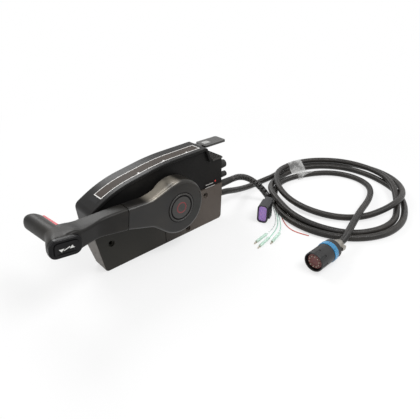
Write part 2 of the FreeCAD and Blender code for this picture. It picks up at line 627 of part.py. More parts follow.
def rod_piece(label, radius, length, start=ORIGIN, direction=Vector(0, -1, 0)):
    """A plain cylinder from start along a direction, with its sizes from the sheet."""
    item = doc.addObject("Part::Cylinder", label)
    item.Label = label
    bind(item, "Radius", radius)
    bind(item, "Height", length)
    item.Placement = Placement(start, Rotation(Vector(0, 0, 1), direction))
    return item


def tube_piece(label, outer, inner, length, lift, x=0.0, z=0.0):
    """A bush or washer about an axis parallel to the pivot's, from lift towards the front."""
    item = start_body(label)
    pad(item, XZ, ring(0, 0, outer), length, lift)
    pocket(item, XZ, ring(0, 0, inner), length, lift)
    return place(item, x=x, z=z)


def hub_cap():
    """The round cover over the hub bolt: a raised ring round a plain face, and a spigot behind."""
    item = start_body("hub_cap")
    floor_y = -s.hub_front + s.cap_recess_depth
    back = -s.hub_front + s.cap_thickness - s.cap_lip
    front = -s.hub_front - s.cap_lip
    inner = s.cap_radius - s.cap_ring
    profile = outline([
        (0, back, 0), (inner, back, 0), (inner, floor_y, 0), (s.cap_recess_radius, floor_y, 0),
        (s.cap_recess_radius, back, 0), (s.cap_radius, back, 0), (s.cap_radius, front, s.cap_edge),
        (inner, front, s.cap_edge / 2), (inner - s.cap_ring_depth, front + s.cap_ring_depth, s.cap_edge / 2),
        (0, front + s.cap_ring_depth / 4, 0),
    ])
    revolve(item, profile)
    return item


def main_shaft():
    """The steel shaft from the rear bush to the lever, tapped for the hub bolt."""
    item = start_body("main_shaft")
    front = "hub_front - cap_recess_depth"
    pad(item, XZ, ring(0, 0, s.shaft_radius), front + " - rear_wall - split_gap", "rear_wall + split_gap")
    pocket(item, XZ, ring(0, 0, s.bolt_radius), "bolt_length", front + " - bolt_length")
    return item


def hub_bolt():
    """The bolt that pulls the hub onto the shaft, with its hexagon head under the cap."""
    item = start_body("hub_bolt")
    seat = "hub_front - cap_recess_depth"
    corners = [polar(0, 0, s.bolt_head_radius, 60 * i) for i in range(6, 0, -1)]
    pad(item, XZ, outline([(x, z, 0) for x, z in corners]), "bolt_head_height", seat + " + washer_thickness")
    pad(item, XZ, ring(0, 0, s.bolt_radius), "washer_thickness + bolt_length", seat + " - bolt_length")
    return item


def hub_washer():
    return tube_piece("hub_washer", s.washer_radius, s.bolt_radius, "washer_thickness",
                      "hub_front - cap_recess_depth")


def involute(angle):
    return math.tan(angle) - angle


def tooth_gap(teeth, phase):
    """One gap between two involute teeth, centred on a direction, as seen from the front."""
    pitch = s.gear_module * teeth / 2
    pressure = math.radians(s.pressure_angle)
    base = pitch * math.cos(pressure)
    tip, root = pitch + s.gear_addendum * s.gear_module, pitch - s.gear_dedendum * s.gear_module
    tooth_half = math.pi / (2 * teeth) - s.gear_backlash / (2 * pitch)

    def gap_half(radius):
        slant = math.acos(min(1.0, base / radius))
        return math.pi / teeth - tooth_half - involute(pressure) + involute(slant)

    steps = int(s.gear_flank_steps)
    low = max(base, root)
    flank = [(root, gap_half(low))] if root < base else []
    for i in range(steps + 1):
        radius = low + (tip - low) * i / steps
        flank.append((radius, gap_half(radius)))
    flank.append((tip + s.gear_module, flank[-1][1]))
    centre = math.radians(phase)
    right = [(r * math.cos(centre - a), r * math.sin(centre - a), 0) for r, a in flank]
    left = [(r * math.cos(centre + a), r * math.sin(centre + a), 0) for r, a in reversed(flank)]
    return right + left


def spur_gear(label, teeth_name, x, z, phase, bore):
    """A spur gear whose teeth are cut one gap at a time round the rim."""
    teeth = int(getattr(s, teeth_name))
    item = start_body(label)
    tip = s.gear_module * (teeth / 2 + s.gear_addendum)
    pad(item, XZ, ring(0, 0, tip), "gear_face", "gear_y")
    gap = pocket(item, XZ, outline(tooth_gap(teeth, phase)), "gear_face", "gear_y")
    doc.recompute()
    row = item.newObject("PartDesign::PolarPattern", label + "_teeth")
    row.Originals = [gap]
    row.Axis = (gap.Profile[0], ["N_Axis"])
    row.Angle = 360.0
    bind(row, "Occurrences", teeth_name)
    item.Tip = row
    pocket(item, XZ, ring(0, 0, bore), "gear_face", "gear_y")
    return place(item, x=x, z=z)


def drive_phase():
    """The drive gear has a tooth on the line to the throttle gear, so a gap half a pitch on."""
    return s.throttle_line + 180.0 / s.drive_teeth


def follower_phase(line, teeth):
    """The gap's direction that takes the drive tooth nearest to the line of centres."""
    pitch = 360.0 / s.drive_teeth
    ahead = (s.throttle_line - line + pitch / 2) % pitch - pitch / 2
    return line + 180.0 - ahead * s.drive_teeth / teeth


def drive_gear():
    return spur_gear("drive_gear", "drive_teeth", 0, 0, drive_phase(), s.shaft_radius)


def throttle_gear():
    """The throttle gear, with the friction drum in front and a hub behind for its arm."""
    bore = s.axle_radius + s.axle_gap
    item = spur_gear("throttle_gear", "throttle_teeth", throttle_x, throttle_z,
                     follower_phase(s.throttle_line, s.throttle_teeth), bore)
    pad(item, XZ, ring(0, 0, s.drum_radius), "drum_face", "gear_y + gear_face")
    pad(item, XZ, ring(0, 0, s.gear_hub_radius), "gear_y - arm_y - arm_plate", "arm_y + arm_plate")
    pocket(item, XZ, ring(0, 0, bore), "case_depth")
    return item


def shift_gear():
    """The shift gear with lightening holes and a hub behind for its arm."""
    bore = s.axle_radius + s.axle_gap
    item = spur_gear("shift_gear", "shift_teeth", shift_x, shift_z,
                     follower_phase(s.shift_line, s.shift_teeth), bore)
    pad(item, XZ, ring(0, 0, s.gear_hub_radius), "gear_y - arm_y - arm_plate", "arm_y + arm_plate")
    pocket(item, XZ, ring(0, 0, bore), "case_depth")
    reach = (s.gear_module * s.shift_teeth / 2 + s.gear_hub_radius) / 2
    hole = pocket(item, XZ, ring(reach, 0, s.gear_hub_radius - s.gear_module), "gear_face", "gear_y")
    doc.recompute()
    row = item.newObject("PartDesign::PolarPattern", "shift_gear_holes")
    row.Originals = [hole]
    row.Axis = (hole.Profile[0], ["N_Axis"])
    row.Angle = 360.0
    bind(row, "Occurrences", "gear_holes")
    item.Tip = row
    return item


def link_arm(label, x, z, length, angle):
    """A flat arm with round ends, from a gear's hub to its cable pin."""
    item = start_body(label)
    end_x, end_z = polar(0, 0, length, angle)
    big, small = s.link_hub_radius, s.link_end_radius
    lean = math.degrees(math.acos((big - small) / length))
    rim = []
    for side, centre, radius in ((1, (0, 0), big), (1, (end_x, end_z), small)):
        rim.append(polar(*centre, radius, angle + lean))
    for centre, radius in (((end_x, end_z), small), ((0, 0), big)):
        rim.append(polar(*centre, radius, angle - lean))
    tip = polar(end_x, end_z, small, angle)
    heel = polar(0, 0, big, angle + 180)
    a, b, c, d = (Vector(px, pz, 0) for px, pz in rim)
    curves = [
        Part.LineSegment(a, b), Part.Arc(b, Vector(*tip, 0), c),
        Part.LineSegment(c, d), Part.Arc(d, Vector(*heel, 0), a),
    ]
    pad(item, XZ, curves, "arm_plate", "arm_y")
    pocket(item, XZ, ring(0, 0, s.axle_radius + s.axle_gap), "arm_plate", "arm_y")
    pocket(item, XZ, ring(end_x, end_z, s.cable_pin_radius), "arm_plate", "arm_y")
    return place(item, x=x, z=z)


def cable_pin(label, x, z, length, angle):
    """The pin that a control cable's eye slips over."""
    item = start_body(label)
    end_x, end_z = polar(x, z, length, angle)
    pad(item, XZ, ring(0, 0, s.cable_pin_radius), "cable_pin_length + arm_plate", "arm_y - cable_pin_length")
    return place(item, x=end_x, z=end_z)


def detent_disc():
    """The notched disc on the shaft that the roller drops into at neutral."""
    item = start_body("detent_disc")
    pad(item, XZ, ring(0, 0, s.detent_radius), "detent_face", "detent_y")
    neutral = 90 + s.neutral_turn
    for angle in (neutral - s.detent_step, neutral, neutral + s.detent_step, s.neutral_turn - 90):
        x, z = polar(0, 0, s.detent_radius + s.detent_notch / 2, angle)
        pocket(item, XZ, ring(x, z, s.detent_notch), "detent_face", "detent_y")
    pocket(item, XZ, ring(0, 0, s.shaft_radius), "detent_face", "detent_y")
    return item


def roller_z():
    return s.detent_radius + s.roller_radius + s.roller_gap


def detent_roller():
    return tube_piece("detent_roller", s.roller_radius, s.roller_pin_radius + s.axle_gap,
                      "detent_face", "detent_y", z=roller_z())


def detent_spring():
    """The leaf that presses the roller: a fork with the roller's pin, and a foot on the back wall."""
    item = start_body("detent_spring")
    top = roller_z() + s.roller_radius + s.roller_gap
    leaf = box_outline(-s.spring_length, top, s.roller_radius, top + s.spring_thickness)
    width, lift = "detent_face + 2 * spring_thickness + 2 * roller_gap", "detent_y - spring_thickness - roller_gap"
    pad(item, XZ, leaf, width, lift)
    ear = box_outline(-s.roller_radius + 1, roller_z() - s.roller_pin_radius - 1, s.roller_radius - 1, top)
    pad(item, XZ, ear, "spring_thickness", lift)
    pad(item, XZ, ear, "spring_thickness", "detent_y + detent_face + roller_gap")
    pad(item, XZ, ring(0, roller_z(), s.roller_pin_radius), width, lift)
    foot = box_outline(-s.spring_length, top, -s.spring_length + s.spring_foot, top + 3 * s.spring_thickness)
    pad(item, XZ, foot, "detent_y + detent_face - rear_wall", "rear_wall")
    return item


def friction_screw():
    """The adjusting screw in the left end that presses the shoe on the drum."""
    item = start_body("friction_screw")
    wall = side_x(throttle_z)
    drum_edge = throttle_x - s.drum_radius - s.shoe_gap - s.shoe_thickness
    length = drum_edge - wall
    stem = s.friction_screw_radius
    sink = s.friction_sink
    profile = outline([
        (sink, 0, 0), (sink, stem - 1, 0), (sink + 1, stem, 0), (length, stem, 0), (length, 0, 0),
    ])
    revolve(item, profile, "H_Axis")
    slot = box_outline(sink - 1, -s.slot_width / 2, sink + s.slot_width, s.slot_width / 2)
    pocket(item, XY, slot, "4 * friction_screw_radius", both=True)
    return place(item, x=wall, y=-s.friction_y, z=throttle_z)


def friction_shoe():
    """The shoe that the screw presses against the throttle drum, hollowed to fit it."""
    item = start_body("friction_shoe")
    back = -s.drum_radius - s.shoe_gap - s.shoe_thickness
    pad(item, XZ, box_outline(back, -s.shoe_height / 2, -s.drum_radius + s.shoe_thickness, s.shoe_height / 2),
        "shoe_width", "friction_y - shoe_width / 2")
    pocket(item, XZ, ring(0, 0, s.drum_radius + s.shoe_gap), "case_depth")
    return place(item, x=throttle_x, z=throttle_z)


def neutral_switch():
    """The start-in-neutral switch on the back wall, with its plunger under the disc."""
    item = start_body("neutral_switch")
    left, low = s.switch_left, s.switch_low
    high = low + s.switch_height
    pad(item, XZ, box_outline(left, low, left + s.switch_length, high), "switch_depth", "rear_wall")
    button = box_outline(-s.switch_button, high, s.switch_button, -s.detent_radius - s.switch_gap)
    pad(item, XZ, button, "detent_face", "detent_y")
    for x in (left + s.spring_foot, left + s.switch_length - s.spring_foot):
        pocket(item, XZ, ring(x, (low + high) / 2, s.roller_pin_radius), "switch_depth", "rear_wall")
    return item


def cable_anchor():
    """The block near the cable end that holds the two cable sleeves in grooves."""
    item = start_body("cable_anchor")
    left, low = s.anchor_left, s.anchor_low
    high = low + s.anchor_height
    pad(item, XZ, box_outline(left, low, left + s.anchor_length, high), "anchor_depth", "anchor_lift")
    for z in (low + s.anchor_height / 4, high - s.anchor_height / 4):
        pocket(item, YZ, ring(-s.anchor_lift - s.anchor_depth, z, s.anchor_groove), "anchor_length", "anchor_left")
    return item


def idle_lever():
    """The fast idle lever: a flat plate with a knuckle between the hood's ears."""
    item = start_body("fast_idle_lever")
    corner = s.idle_corner
    plate = [
        (s.idle_left, -s.idle_front, corner), (s.idle_left, -s.idle_back, corner),
        (s.idle_right, -s.idle_back, corner), (s.idle_right, -s.idle_front, corner),
    ]
    pad(item, XY, outline(plate), "idle_thickness", "idle_z")
    width = "idle_ear_spread - 2 * idle_ear - 2 * idle_ear_gap"
    lift = "idle_ear_back + idle_ear + idle_ear_gap"
    neck = box_outline(s.idle_pivot_x, s.idle_z, s.idle_left + corner, s.idle_z + s.idle_knuckle)
    pad(item, XZ, neck, width, lift)
    pad(item, XZ, ring(s.idle_pivot_x, s.idle_z, s.idle_knuckle), width, lift)
    pocket(item, XZ, ring(s.idle_pivot_x, s.idle_z, s.idle_pin_radius + s.bush_gap), width, lift)
    return item


def idle_pin():
    return rod_piece("fast_idle_pin", "idle_pin_radius", "idle_ear_spread",
                     Vector(s.idle_pivot_x, -s.idle_ear_back, s.idle_z))


def boot(label, z, length, radius, lean=0.0):
    """A tapered rubber boot through the case's right end, with a flange on each side of the wall,
    which leans out at the boot's top by a small amount."""
    item = start_body(label)
    wall_x = s.step_right if z > split else s.waist_right
    root = radius + s.boot_flange
    seat = -rear_inset - s.hood_gap - (s.step_right - s.waist_right)
    profile = outline([
        (seat - s.boot_flange, 0, 0), (seat - s.boot_flange, root + s.boot_flange, 0),
        (seat, root + s.boot_flange, 0), (seat, root - s.boot_gap, 0), (s.boot_gap + lean, root - s.boot_gap, 0),
        (s.boot_gap + lean, root + s.boot_flange, 0.5), (s.boot_flange + lean, root + s.boot_flange, 0.5),
        (2 * s.boot_flange, root, 0), (length, radius, 1), (length, 0, 0),
    ])
    revolve(item, profile, "H_Axis")
    return place(item, x=wall_x, y=-s.exit_y, z=z)


def front_bush():
    return tube_piece("front_bush", bush_radius, s.shaft_radius + s.bush_gap, "cover_thickness",
                      "case_depth - cover_thickness")


def rear_bush():
    return tube_piece("rear_bush", bush_radius, s.shaft_radius + s.bush_gap, "bush_rear_length", "rear_wall")


def axle(label, x, z):
    return rod_piece(label, "axle_radius", "axle_front - rear_wall", Vector(x, -s.rear_wall, z))


def case_screws():
    """The four screws in the back that hold the cover, as one group."""
    screws = []
    for x, z in screw_spots:
        head = Part.makeCylinder(s.case_screw_head, s.case_screw_sink, Vector(x, 0, z), Vector(0, -1, 0))
        shank = Part.makeCylinder(s.case_screw_radius, s.case_screw_length, Vector(x, 0, z), Vector(0, -1, 0))
        slot = Part.makeBox(2 * s.case_screw_head, s.slot_width, s.slot_width,
                            Vector(x - s.case_screw_head, -s.slot_width, z - s.slot_width / 2))
        screws.append(head.fuse(shank).cut(slot))
    return feature_of("case_screws", Part.makeCompound(screws))


def marker_dot():
    """The small round marker on the front, above the cover's edge."""
    start = Vector(s.marker_x, -s.case_depth + s.hood_setback, s.marker_z)
    return rod_piece("marker_dot", "marker_radius", "marker_proud", start)


def lock_trigger():
    """The lock release bar in the grip, with a tail that carries the rod."""
    item = start_body("lock_trigger")
    outer, inner = -s.trigger_reach, -s.trigger_reach - s.trigger_height
    bar = box_outline(inner, -s.trigger_front, outer, -s.trigger_back, s.trigger_round)
    pad(item, XY, bar, "trigger_width", both=True)
    round_edges(item, lambda e: e.BoundBox.XMin > outer - 0.01 and e.Length > s.trigger_width * 2, "cap_edge * 2")
    tail = box_outline(inner, -s.rod_y - s.trigger_tail / 2, inner + s.trigger_tail, -s.trigger_front + 4)
    pad(item, XY, tail, "trigger_width", both=True)
    return tilt(item)


def lock_rod():
    """The rod from the trigger to the lock plate under the hub."""
    start = -s.trigger_reach - s.trigger_height + s.trigger_tail
    turn = Rotation(SPIN_Y, s.lever_tilt)
    item = rod_piece("lock_rod", "rod_radius", "trigger_reach + trigger_height - trigger_tail - rod_reach")
    item.Placement = Placement(turn.multVec(Vector(start, -s.rod_y, 0)),
                               turn.multiply(Rotation(Vector(0, 0, 1), Vector(1, 0, 0))))
    return item


# Free harness

floor = -s.base_drop
TURNS = [(s.turn_a_mean, s.turn_a_fan, s.turn_a_way, s.turn_a_oval, s.turn_a_long),
         (s.turn_b_mean, s.turn_b_fan, s.turn_b_way, s.turn_b_oval, s.turn_b_long),
         (s.turn_c_mean, s.turn_c_fan, s.turn_c_way, s.turn_c_oval, s.turn_c_long)]
COIL_SAMPLES = 24


def turn_radius(turn, degrees):
    mean, fan, way, oval, long = turn
    return (mean + fan * math.cos(math.radians(degrees - way))
            + oval * math.cos(2 * math.radians(degrees - long)))


def coil_edge(degrees, outer):
    """How far the coil's turns reach from its centre in a direction."""
    reach = [turn_radius(turn, degrees) for turn in TURNS]
    clear = s.lead_radius + s.coil_margin
    return max(reach) + clear if outer else min(reach) - clear


def coil_curve(outer):
    points = []
    for i in range(COIL_SAMPLES):
        degrees = 360.0 * i / COIL_SAMPLES
        x, y = polar(s.coil_x, s.coil_y, coil_edge(degrees, outer), degrees)
        points.append(Vector(x, y, 0))
    curve = Part.BSplineCurve()
    curve.interpolate(points, PeriodicFlag=True)
    return [curve]


def coil_stack():
    """Plan of the part of the coil where one turn lies on the others."""
    steps = 8
    rim = []
    for outer, order in ((True, range(steps + 1)), (False, range(steps, -1, -1))):
        points = []
        for i in order:
            degrees = s.stack_from + (s.stack_to - s.stack_from) * i / steps
            reach = coil_edge(degrees % 360, outer) + (-s.stack_inset if outer else s.stack_inset)
            points.append(Vector(*polar(s.coil_x, s.coil_y, reach, degrees), 0))
        curve = Part.BSplineCurve()
        curve.interpolate(points)
        rim.append(curve)
    first, second = rim
    return [first, Part.LineSegment(first.EndPoint, second.StartPoint),
            second, Part.LineSegment(second.EndPoint, first.StartPoint)]


def harness_coil():
    """The space that the coil's loose turns take, one layer high, and two at the back."""
    item = start_body("harness_coil")
    pad(item, XY, coil_curve(True), "coil_layer", "-base_drop")
    pocket(item, XY, coil_curve(False), "coil_layer", "-base_drop")
    pad(item, XY, coil_stack(), "coil_height - coil_layer / 2", "coil_layer / 2 - base_drop")
    return item


def coil_tie():
    """The clear tape over the strands at the back of the coil."""
    item = start_body("coil_tie")
    inner, outer = s.tie_inner, coil_edge(s.tie_angle, True)
    wall, top = s.tie_wall, floor + s.coil_height
    arch = [
        (inner - wall, floor, 0), (inner - wall, top + wall, 0), (outer + wall, top + wall, 0),
        (outer + wall, floor, 0), (outer, floor, 0), (outer, top, 0), (inner, top, 0), (inner, floor, 0),
    ]
    pad(item, XZ, outline(arch), "tie_width", both=True)
    return place(item, x=s.coil_x, y=s.coil_y, axis=Vector(0, 0, 1), angle=s.tie_angle)


def route(points):
    """A wire of straight runs joined by tangent arcs, and its smallest radius."""
    knots = [Vector(*p) for p in points]
    edges = []
    tightest = math.inf
    at = knots[0]
    for back, here, ahead in zip(knots, knots[1:], knots[2:]):
        to_back, to_ahead = back - here, ahead - here
        shorter = min(to_back.Length, to_ahead.Length)
        turn = math.pi - to_back.getAngle(to_ahead)
        reach = ROUTE_SHARE * shorter
        radius = reach / math.tan(turn / 2)
        tightest = min(tightest, radius)
        enter = here + to_back.normalize() * reach
        leave = here + to_ahead.normalize() * reach
        bisector = (to_back + to_ahead).normalize()
        middle = here + bisector * (radius / math.cos(turn / 2) - radius)
        edges.append(Part.LineSegment(at, enter).toShape())
        edges.append(Part.Arc(enter, middle, leave).toShape())
        at = leave
    edges.append(Part.LineSegment(at, knots[-1]).toShape())
    return Part.Wire(edges), tightest


ROUTE_SHARE = 0.45


def cord_tube(label, points, radius):
    """A cord's plain solid; its volume is set against its section times its length."""
    spine, tightest = route(points)
    start, run = Vector(*points[0]), Vector(*points[1]) - Vector(*points[0])
    profile = Part.Wire([Part.Circle(start, run, radius).toShape()])
    tube = spine.makePipeShell([profile], True, False)
    ideal = math.pi * radius ** 2 * spine.Length
    print(f"{label}: {spine.Length:.0f} mm, tightest radius {tightest:.0f} mm, "
          f"{tightest / (2 * radius):.1f} diameters, volume {tube.Volume / ideal:.3f} of ideal")
    return feature_of(label, tube)


LEAD_IN = [(s.waist_right + s.lead_boot, -s.exit_y, s.lead_z), (166, -22, -48), (192, -17, -57),
           (220, -9, -67), (250, -3, -75), (284, 0, -79.2), (320, 0, -79.4), (356, -3, -79.2)]
LEAD_OUT = [(284, -62, -79), (306, -48, -79), (334, -38.5, -79), (364, -36, -79), (394, -41, -79),
            (423, -52, -79), (450, -66, -79), (473, -84, -79), (489, -109, -79), (495, -139, -79),
            (489, -168, -79), (470, -193, -78.5), (441, -212, -75), (406, -226, -69), (368, -237, -64.5),
            (328, -247, -62.6), (290, -256, -62.4), (256, -265, -62.8), (228, -273, -64.4), (209, -277, -67),
            (190, -277, -67.1)]
BRANCH = [(s.waist_right + s.branch_boot, -s.exit_y, s.branch_z), (191, -23.2, -24.4), (205, -26, -25.2),
          (218.3, -31.6, -29.2), (230, -40.5, -37.5), (241, -50.5, -50), (249.5, -61, -64.5), (254, -72, -79)]
BRANCH_TAIL = [(254.5, -70.5, -77), (252, -81, -78.5), (246, -92, -77.5), (236, -102, -74), (224, -109, -71),
               (210, -109.6, -69.5)]
WIRES = {
    "wire_white": [(252.5, -71.8, -79.6), (251.2, -80, -84), (243, -90, -85), (229, -106, -85),
                   (207, -129, -85), (182, -146, -85), (150, -154, -85), (118, -158, -85)],
    "wire_mint": [(254.2, -71.5, -78), (253.4, -82, -84.6), (245.5, -92.5, -85), (231, -108.5, -85),
                  (209, -132, -85), (183, -152, -85), (146, -165, -85), (112, -171, -85)],
    "wire_pale": [(255.8, -72.3, -80), (255.4, -84, -85), (248, -95, -85), (233.5, -110, -85),
                  (211, -135, -85), (189, -156, -85), (162, -171, -85), (139, -177, -85)],
    "wire_red": [(257.4, -72.2, -78.8), (257.6, -86, -85), (249, -99, -85), (235, -115.5, -85),
                 (214, -139, -85), (197, -164, -85), (193, -189, -85), (202, -212, -85)],
}


def terminal_group():
    """The crimped bullet terminals on the ends of three wires."""
    ends = []
    for label in ("wire_white", "wire_mint", "wire_pale"):
        before, tip = (Vector(*p) for p in WIRES[label][-2:])
        way = (tip - before).normalize()
        lift = Vector(0, 0, s.terminal_radius - s.wire_radius)
        sleeve = Part.makeCylinder(s.terminal_radius, s.terminal_sleeve, tip + lift, way)
        bullet = Part.makeCylinder(s.terminal_bullet, s.terminal_length, tip + lift + way * s.terminal_sleeve, way)
        ends.append(sleeve.fuse(bullet))
    return feature_of("wire_terminals", Part.makeCompound(ends))


# Round connector, drawn along +X from its face

nut_start = s.plug_shell_length + s.plug_ring_length + 2 * s.plug_ring_gap
clamp_start = nut_start + s.plug_nut_length + s.plug_nut_cone


def at_plug(item, along=0.0):
    return place(item, x=s.plug_face_x + along, y=s.plug_y, z=floor + s.plug_ring_radius + s.plug_ring_lift)


def spread_round(item, feature, count, label):
    """Repeats a feature evenly round its sketch's normal."""
    doc.recompute()
    row = item.newObject("PartDesign::PolarPattern", label)
    row.Originals = [feature]
    row.Axis = (feature.Profile[0], ["N_Axis"])
    row.Angle = 360.0
    bind(row, "Occurrences", count)
    item.Tip = row


def plug_shell():
    """The dark shell: an open cup in front, grooved along its side, and the ring's seat behind."""
    item = start_body("plug_shell")
    radius, length, well = s.plug_radius, s.plug_shell_length, s.plug_well
    bore = radius - s.plug_wall
    seat = s.plug_ring_radius - s.plug_ring_wall - s.plug_ring_gap
    profile = outline([
        (0, bore, 0.6), (0, radius, 1), (length, radius, 0.8), (length, seat, 0), (nut_start, seat, 0),
        (nut_start, 0, 0), (well, 0, 0), (well, bore, 0),
    ])
    revolve(item, profile, "H_Axis")
    groove = pocket(item, YZ, ring(0, radius + s.plug_rib_depth, 2 * s.plug_rib_depth), "plug_rib_length",
                    "plug_rib_start")
    spread_round(item, groove, "plug_ribs", "plug_grooves")
    return at_plug(item)


def plug_insert():
    """The contact block at the bottom of the shell, with its ring of pins."""
    item = start_body("plug_insert")
    pad(item, YZ, ring(0, 0, s.plug_insert_radius), "plug_insert_height", "plug_well - plug_insert_height")
    pin = pad(item, YZ, ring(0, s.plug_pin_circle, s.plug_pin_radius), "plug_pin_length",
              "plug_well - plug_insert_height - plug_pin_length")
    spread_round(item, pin, "plug_pins", "plug_pin_row")
    return at_plug(item)


def plug_ring():
    """The blue coupling ring, free to turn behind the shell, with a knurled rim."""
    item = start_body("plug_ring")
    inner = s.plug_ring_radius - s.plug_ring_wall
    profile = outline([
        (s.plug_ring_gap, inner, 0), (s.plug_ring_gap, s.plug_ring_radius, 1),
        (s.plug_ring_length, s.plug_ring_radius, 1), (s.plug_ring_length, inner, 0),
    ])
    revolve(item, profile, "H_Axis")
    notch = pocket(item, YZ, ring(0, s.plug_ring_radius + s.plug_notch / 2, s.plug_notch), "plug_ring_length")
    spread_round(item, notch, "plug_notches", "plug_knurl")
    return at_plug(item, s.plug_shell_length)


def plug_nut():
    """The black gland nut behind the ring."""
    item = start_body("plug_nut")
    rim, length = s.plug_radius, s.plug_nut_length
    profile = outline([
        (0, 0, 0), (0, rim, 1), (length, rim, 1), (length + s.plug_nut_cone, s.plug_neck_radius, 0),
        (length + s.plug_nut_cone, 0, 0),
    ])
    revolve(item, profile, "H_Axis")
    return at_plug(item, nut_start)


def plug_clamp():
    """The metal strain relief with a screw lug on each side of the cord."""
    item = start_body("plug_clamp")
    neck, length, lug = s.plug_neck_radius - 2, s.plug_clamp_length, s.plug_clamp_lug
    profile = outline([
        (0, 0, 0), (0, neck, 0), (length / 2, neck, 0), (length, s.lead_radius + 1.4, 0), (length, 0, 0),
    ])
    revolve(item, profile, "H_Axis")
    for side in (-neck, neck):
        pad(item, YZ, box_outline(side - lug / 2, -lug / 2, side + lug / 2, lug / 2), "plug_clamp_length / 2",
            "plug_clamp_length / 3")
    pocket(item, YZ, ring(0, 0, s.lead_radius), "plug_clamp_length / 2", "plug_clamp_length / 2")
    return at_plug(item, clamp_start)


# Branch connector, drawn along +X from its face, long side upright

def at_socket(item):
    return place(item, x=s.socket_x, y=s.socket_y, z=s.socket_z, axis=Vector(0, 0, 1), angle=s.socket_yaw)


def branch_socket():
    """The black housing of the branch connector, with its latch and a stepped back."""
    item = start_body("branch_socket")
    half_w, half_h, wall = s.socket_height / 2, s.socket_width / 2, s.socket_wall
    pad(item, YZ, box_outline(-half_w, -half_h, half_w, half_h, s.socket_corner), "socket_length")
    inner = box_outline(wall - half_w, wall - half_h, half_w - wall, half_h - wall, s.socket_corner - wall)
    pad(item, YZ, inner, "socket_length / 2", "socket_length")
    latch = box_outline(-half_w - s.socket_latch, -half_h / 2, -half_w + 1, half_h / 4)
    pad(item, YZ, latch, "socket_length / 2", "socket_length / 8")
    pocket(item, YZ, inner, "socket_length / 2")
    return at_socket(item)


def branch_seal():
    """The purple contact face inside the connector's mouth."""
    item = start_body("branch_seal")
    edge = s.socket_wall + s.hood_gap / 2
    half_w, half_h = s.socket_height / 2 - edge, s.socket_width / 2 - edge
    pad(item, YZ, box_outline(-half_w, -half_h, half_w, half_h, s.socket_corner - edge),
        "socket_length / 2 - socket_seal", "socket_seal")
    return at_socket(item)


# Build every sub-part

pieces = [
    rear_housing(), front_cover(), top_hood(), scale_strip(), end_cap(), case_screws(), marker_dot(),
    front_bush(), rear_bush(), friction_screw(), friction_shoe(), neutral_switch(),
    cable_anchor(), detent_roller(), detent_spring(),
    axle("throttle_axle", throttle_x, throttle_z), axle("shift_axle", shift_x, shift_z),
    boot("lead_boot", s.lead_z, s.lead_boot, s.lead_radius),
    boot("branch_boot", s.branch_z, s.branch_boot, s.branch_radius, s.branch_lean),
    boot("low_spare_boot", s.low_spare_z, s.low_spare_boot, s.low_spare_radius),
    boot("spare_boot", s.spare_z, s.spare_boot, s.spare_radius),
    main_shaft(), drive_gear(), detent_disc(), lever_casting(), handle_shell(), hub_bolt(),
    hub_washer(), hub_cap(), trim_bezel(), rocker_pin(), trim_rocker(), lock_trigger(), lock_rod(),
    throttle_gear(), link_arm("throttle_arm", throttle_x, throttle_z, s.throttle_arm_length, s.throttle_arm_angle),
    cable_pin("throttle_pin", throttle_x, throttle_z, s.throttle_arm_length, s.throttle_arm_angle),
    shift_gear(), link_arm("shift_arm", shift_x, shift_z, s.shift_arm_length, s.shift_arm_angle),
    cable_pin("shift_pin", shift_x, shift_z, s.shift_arm_length, s.shift_arm_angle),
    idle_lever(), idle_pin(), harness_coil(), coil_tie(),
    cord_tube("lead_in", LEAD_IN, s.lead_radius), cord_tube("lead_out", LEAD_OUT, s.lead_radius),
    cord_tube("branch_sleeve", BRANCH, s.branch_radius),
    cord_tube("branch_tail", BRANCH_TAIL, s.tail_radius),
    *[cord_tube(label, points, s.wire_radius) for label, points in WIRES.items()],
    terminal_group(), plug_shell(), plug_insert(), plug_ring(), plug_nut(), plug_clamp(),
    branch_socket(), branch_seal(),
]
doc.recompute()

failed = [item.Name for item in doc.Objects if "Invalid" in item.State or "Error" in item.State]
if failed:
    raise RuntimeError("these objects failed to build: " + ", ".join(failed))
for item in pieces:
    if item.Shape.isNull() or not item.Shape.isValid():
        raise RuntimeError(item.Label + " has no valid shape")

os.makedirs("parts", exist_ok=True)
for item in pieces:
    item.Shape.exportStep(f"parts/{item.Label}.step")
print(len(pieces), "sub-parts written")
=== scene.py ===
import math

import bpy
from mathutils import Matrix, Vector


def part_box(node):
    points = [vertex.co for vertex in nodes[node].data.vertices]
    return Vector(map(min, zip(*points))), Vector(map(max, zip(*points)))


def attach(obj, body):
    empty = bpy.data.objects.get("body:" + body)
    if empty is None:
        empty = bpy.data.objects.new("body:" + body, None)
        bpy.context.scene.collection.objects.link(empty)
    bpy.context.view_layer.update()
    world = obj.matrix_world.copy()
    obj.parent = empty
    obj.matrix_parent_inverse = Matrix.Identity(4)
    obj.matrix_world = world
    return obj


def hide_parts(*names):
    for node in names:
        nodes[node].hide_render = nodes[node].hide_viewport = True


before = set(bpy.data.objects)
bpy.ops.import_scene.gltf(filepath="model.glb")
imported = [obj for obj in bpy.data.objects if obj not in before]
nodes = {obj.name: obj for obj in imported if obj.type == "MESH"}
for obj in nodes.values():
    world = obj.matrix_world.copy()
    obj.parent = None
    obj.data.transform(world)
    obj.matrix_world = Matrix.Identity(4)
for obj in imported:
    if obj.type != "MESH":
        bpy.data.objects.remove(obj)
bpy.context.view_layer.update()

# Moulded case
# The two halves are glass-filled nylon with a fine spark-eroded grain. The front cover is paler than
# the hood because the grain scatters light, and it has picked up a little dust. Light is painted on it:
# it is painted paler towards the cable end, and a pale painted reflection lies on the other end's face.

CASE_COLOUR = (0.014, 0.0132, 0.0105)
CASE_DUSTY = (0.030, 0.0275, 0.022)
# Painted light: the paler tone laid on the case towards the cable end, where the light falls on it.
CASE_PAINTED_LIGHT = (0.090, 0.074, 0.063)
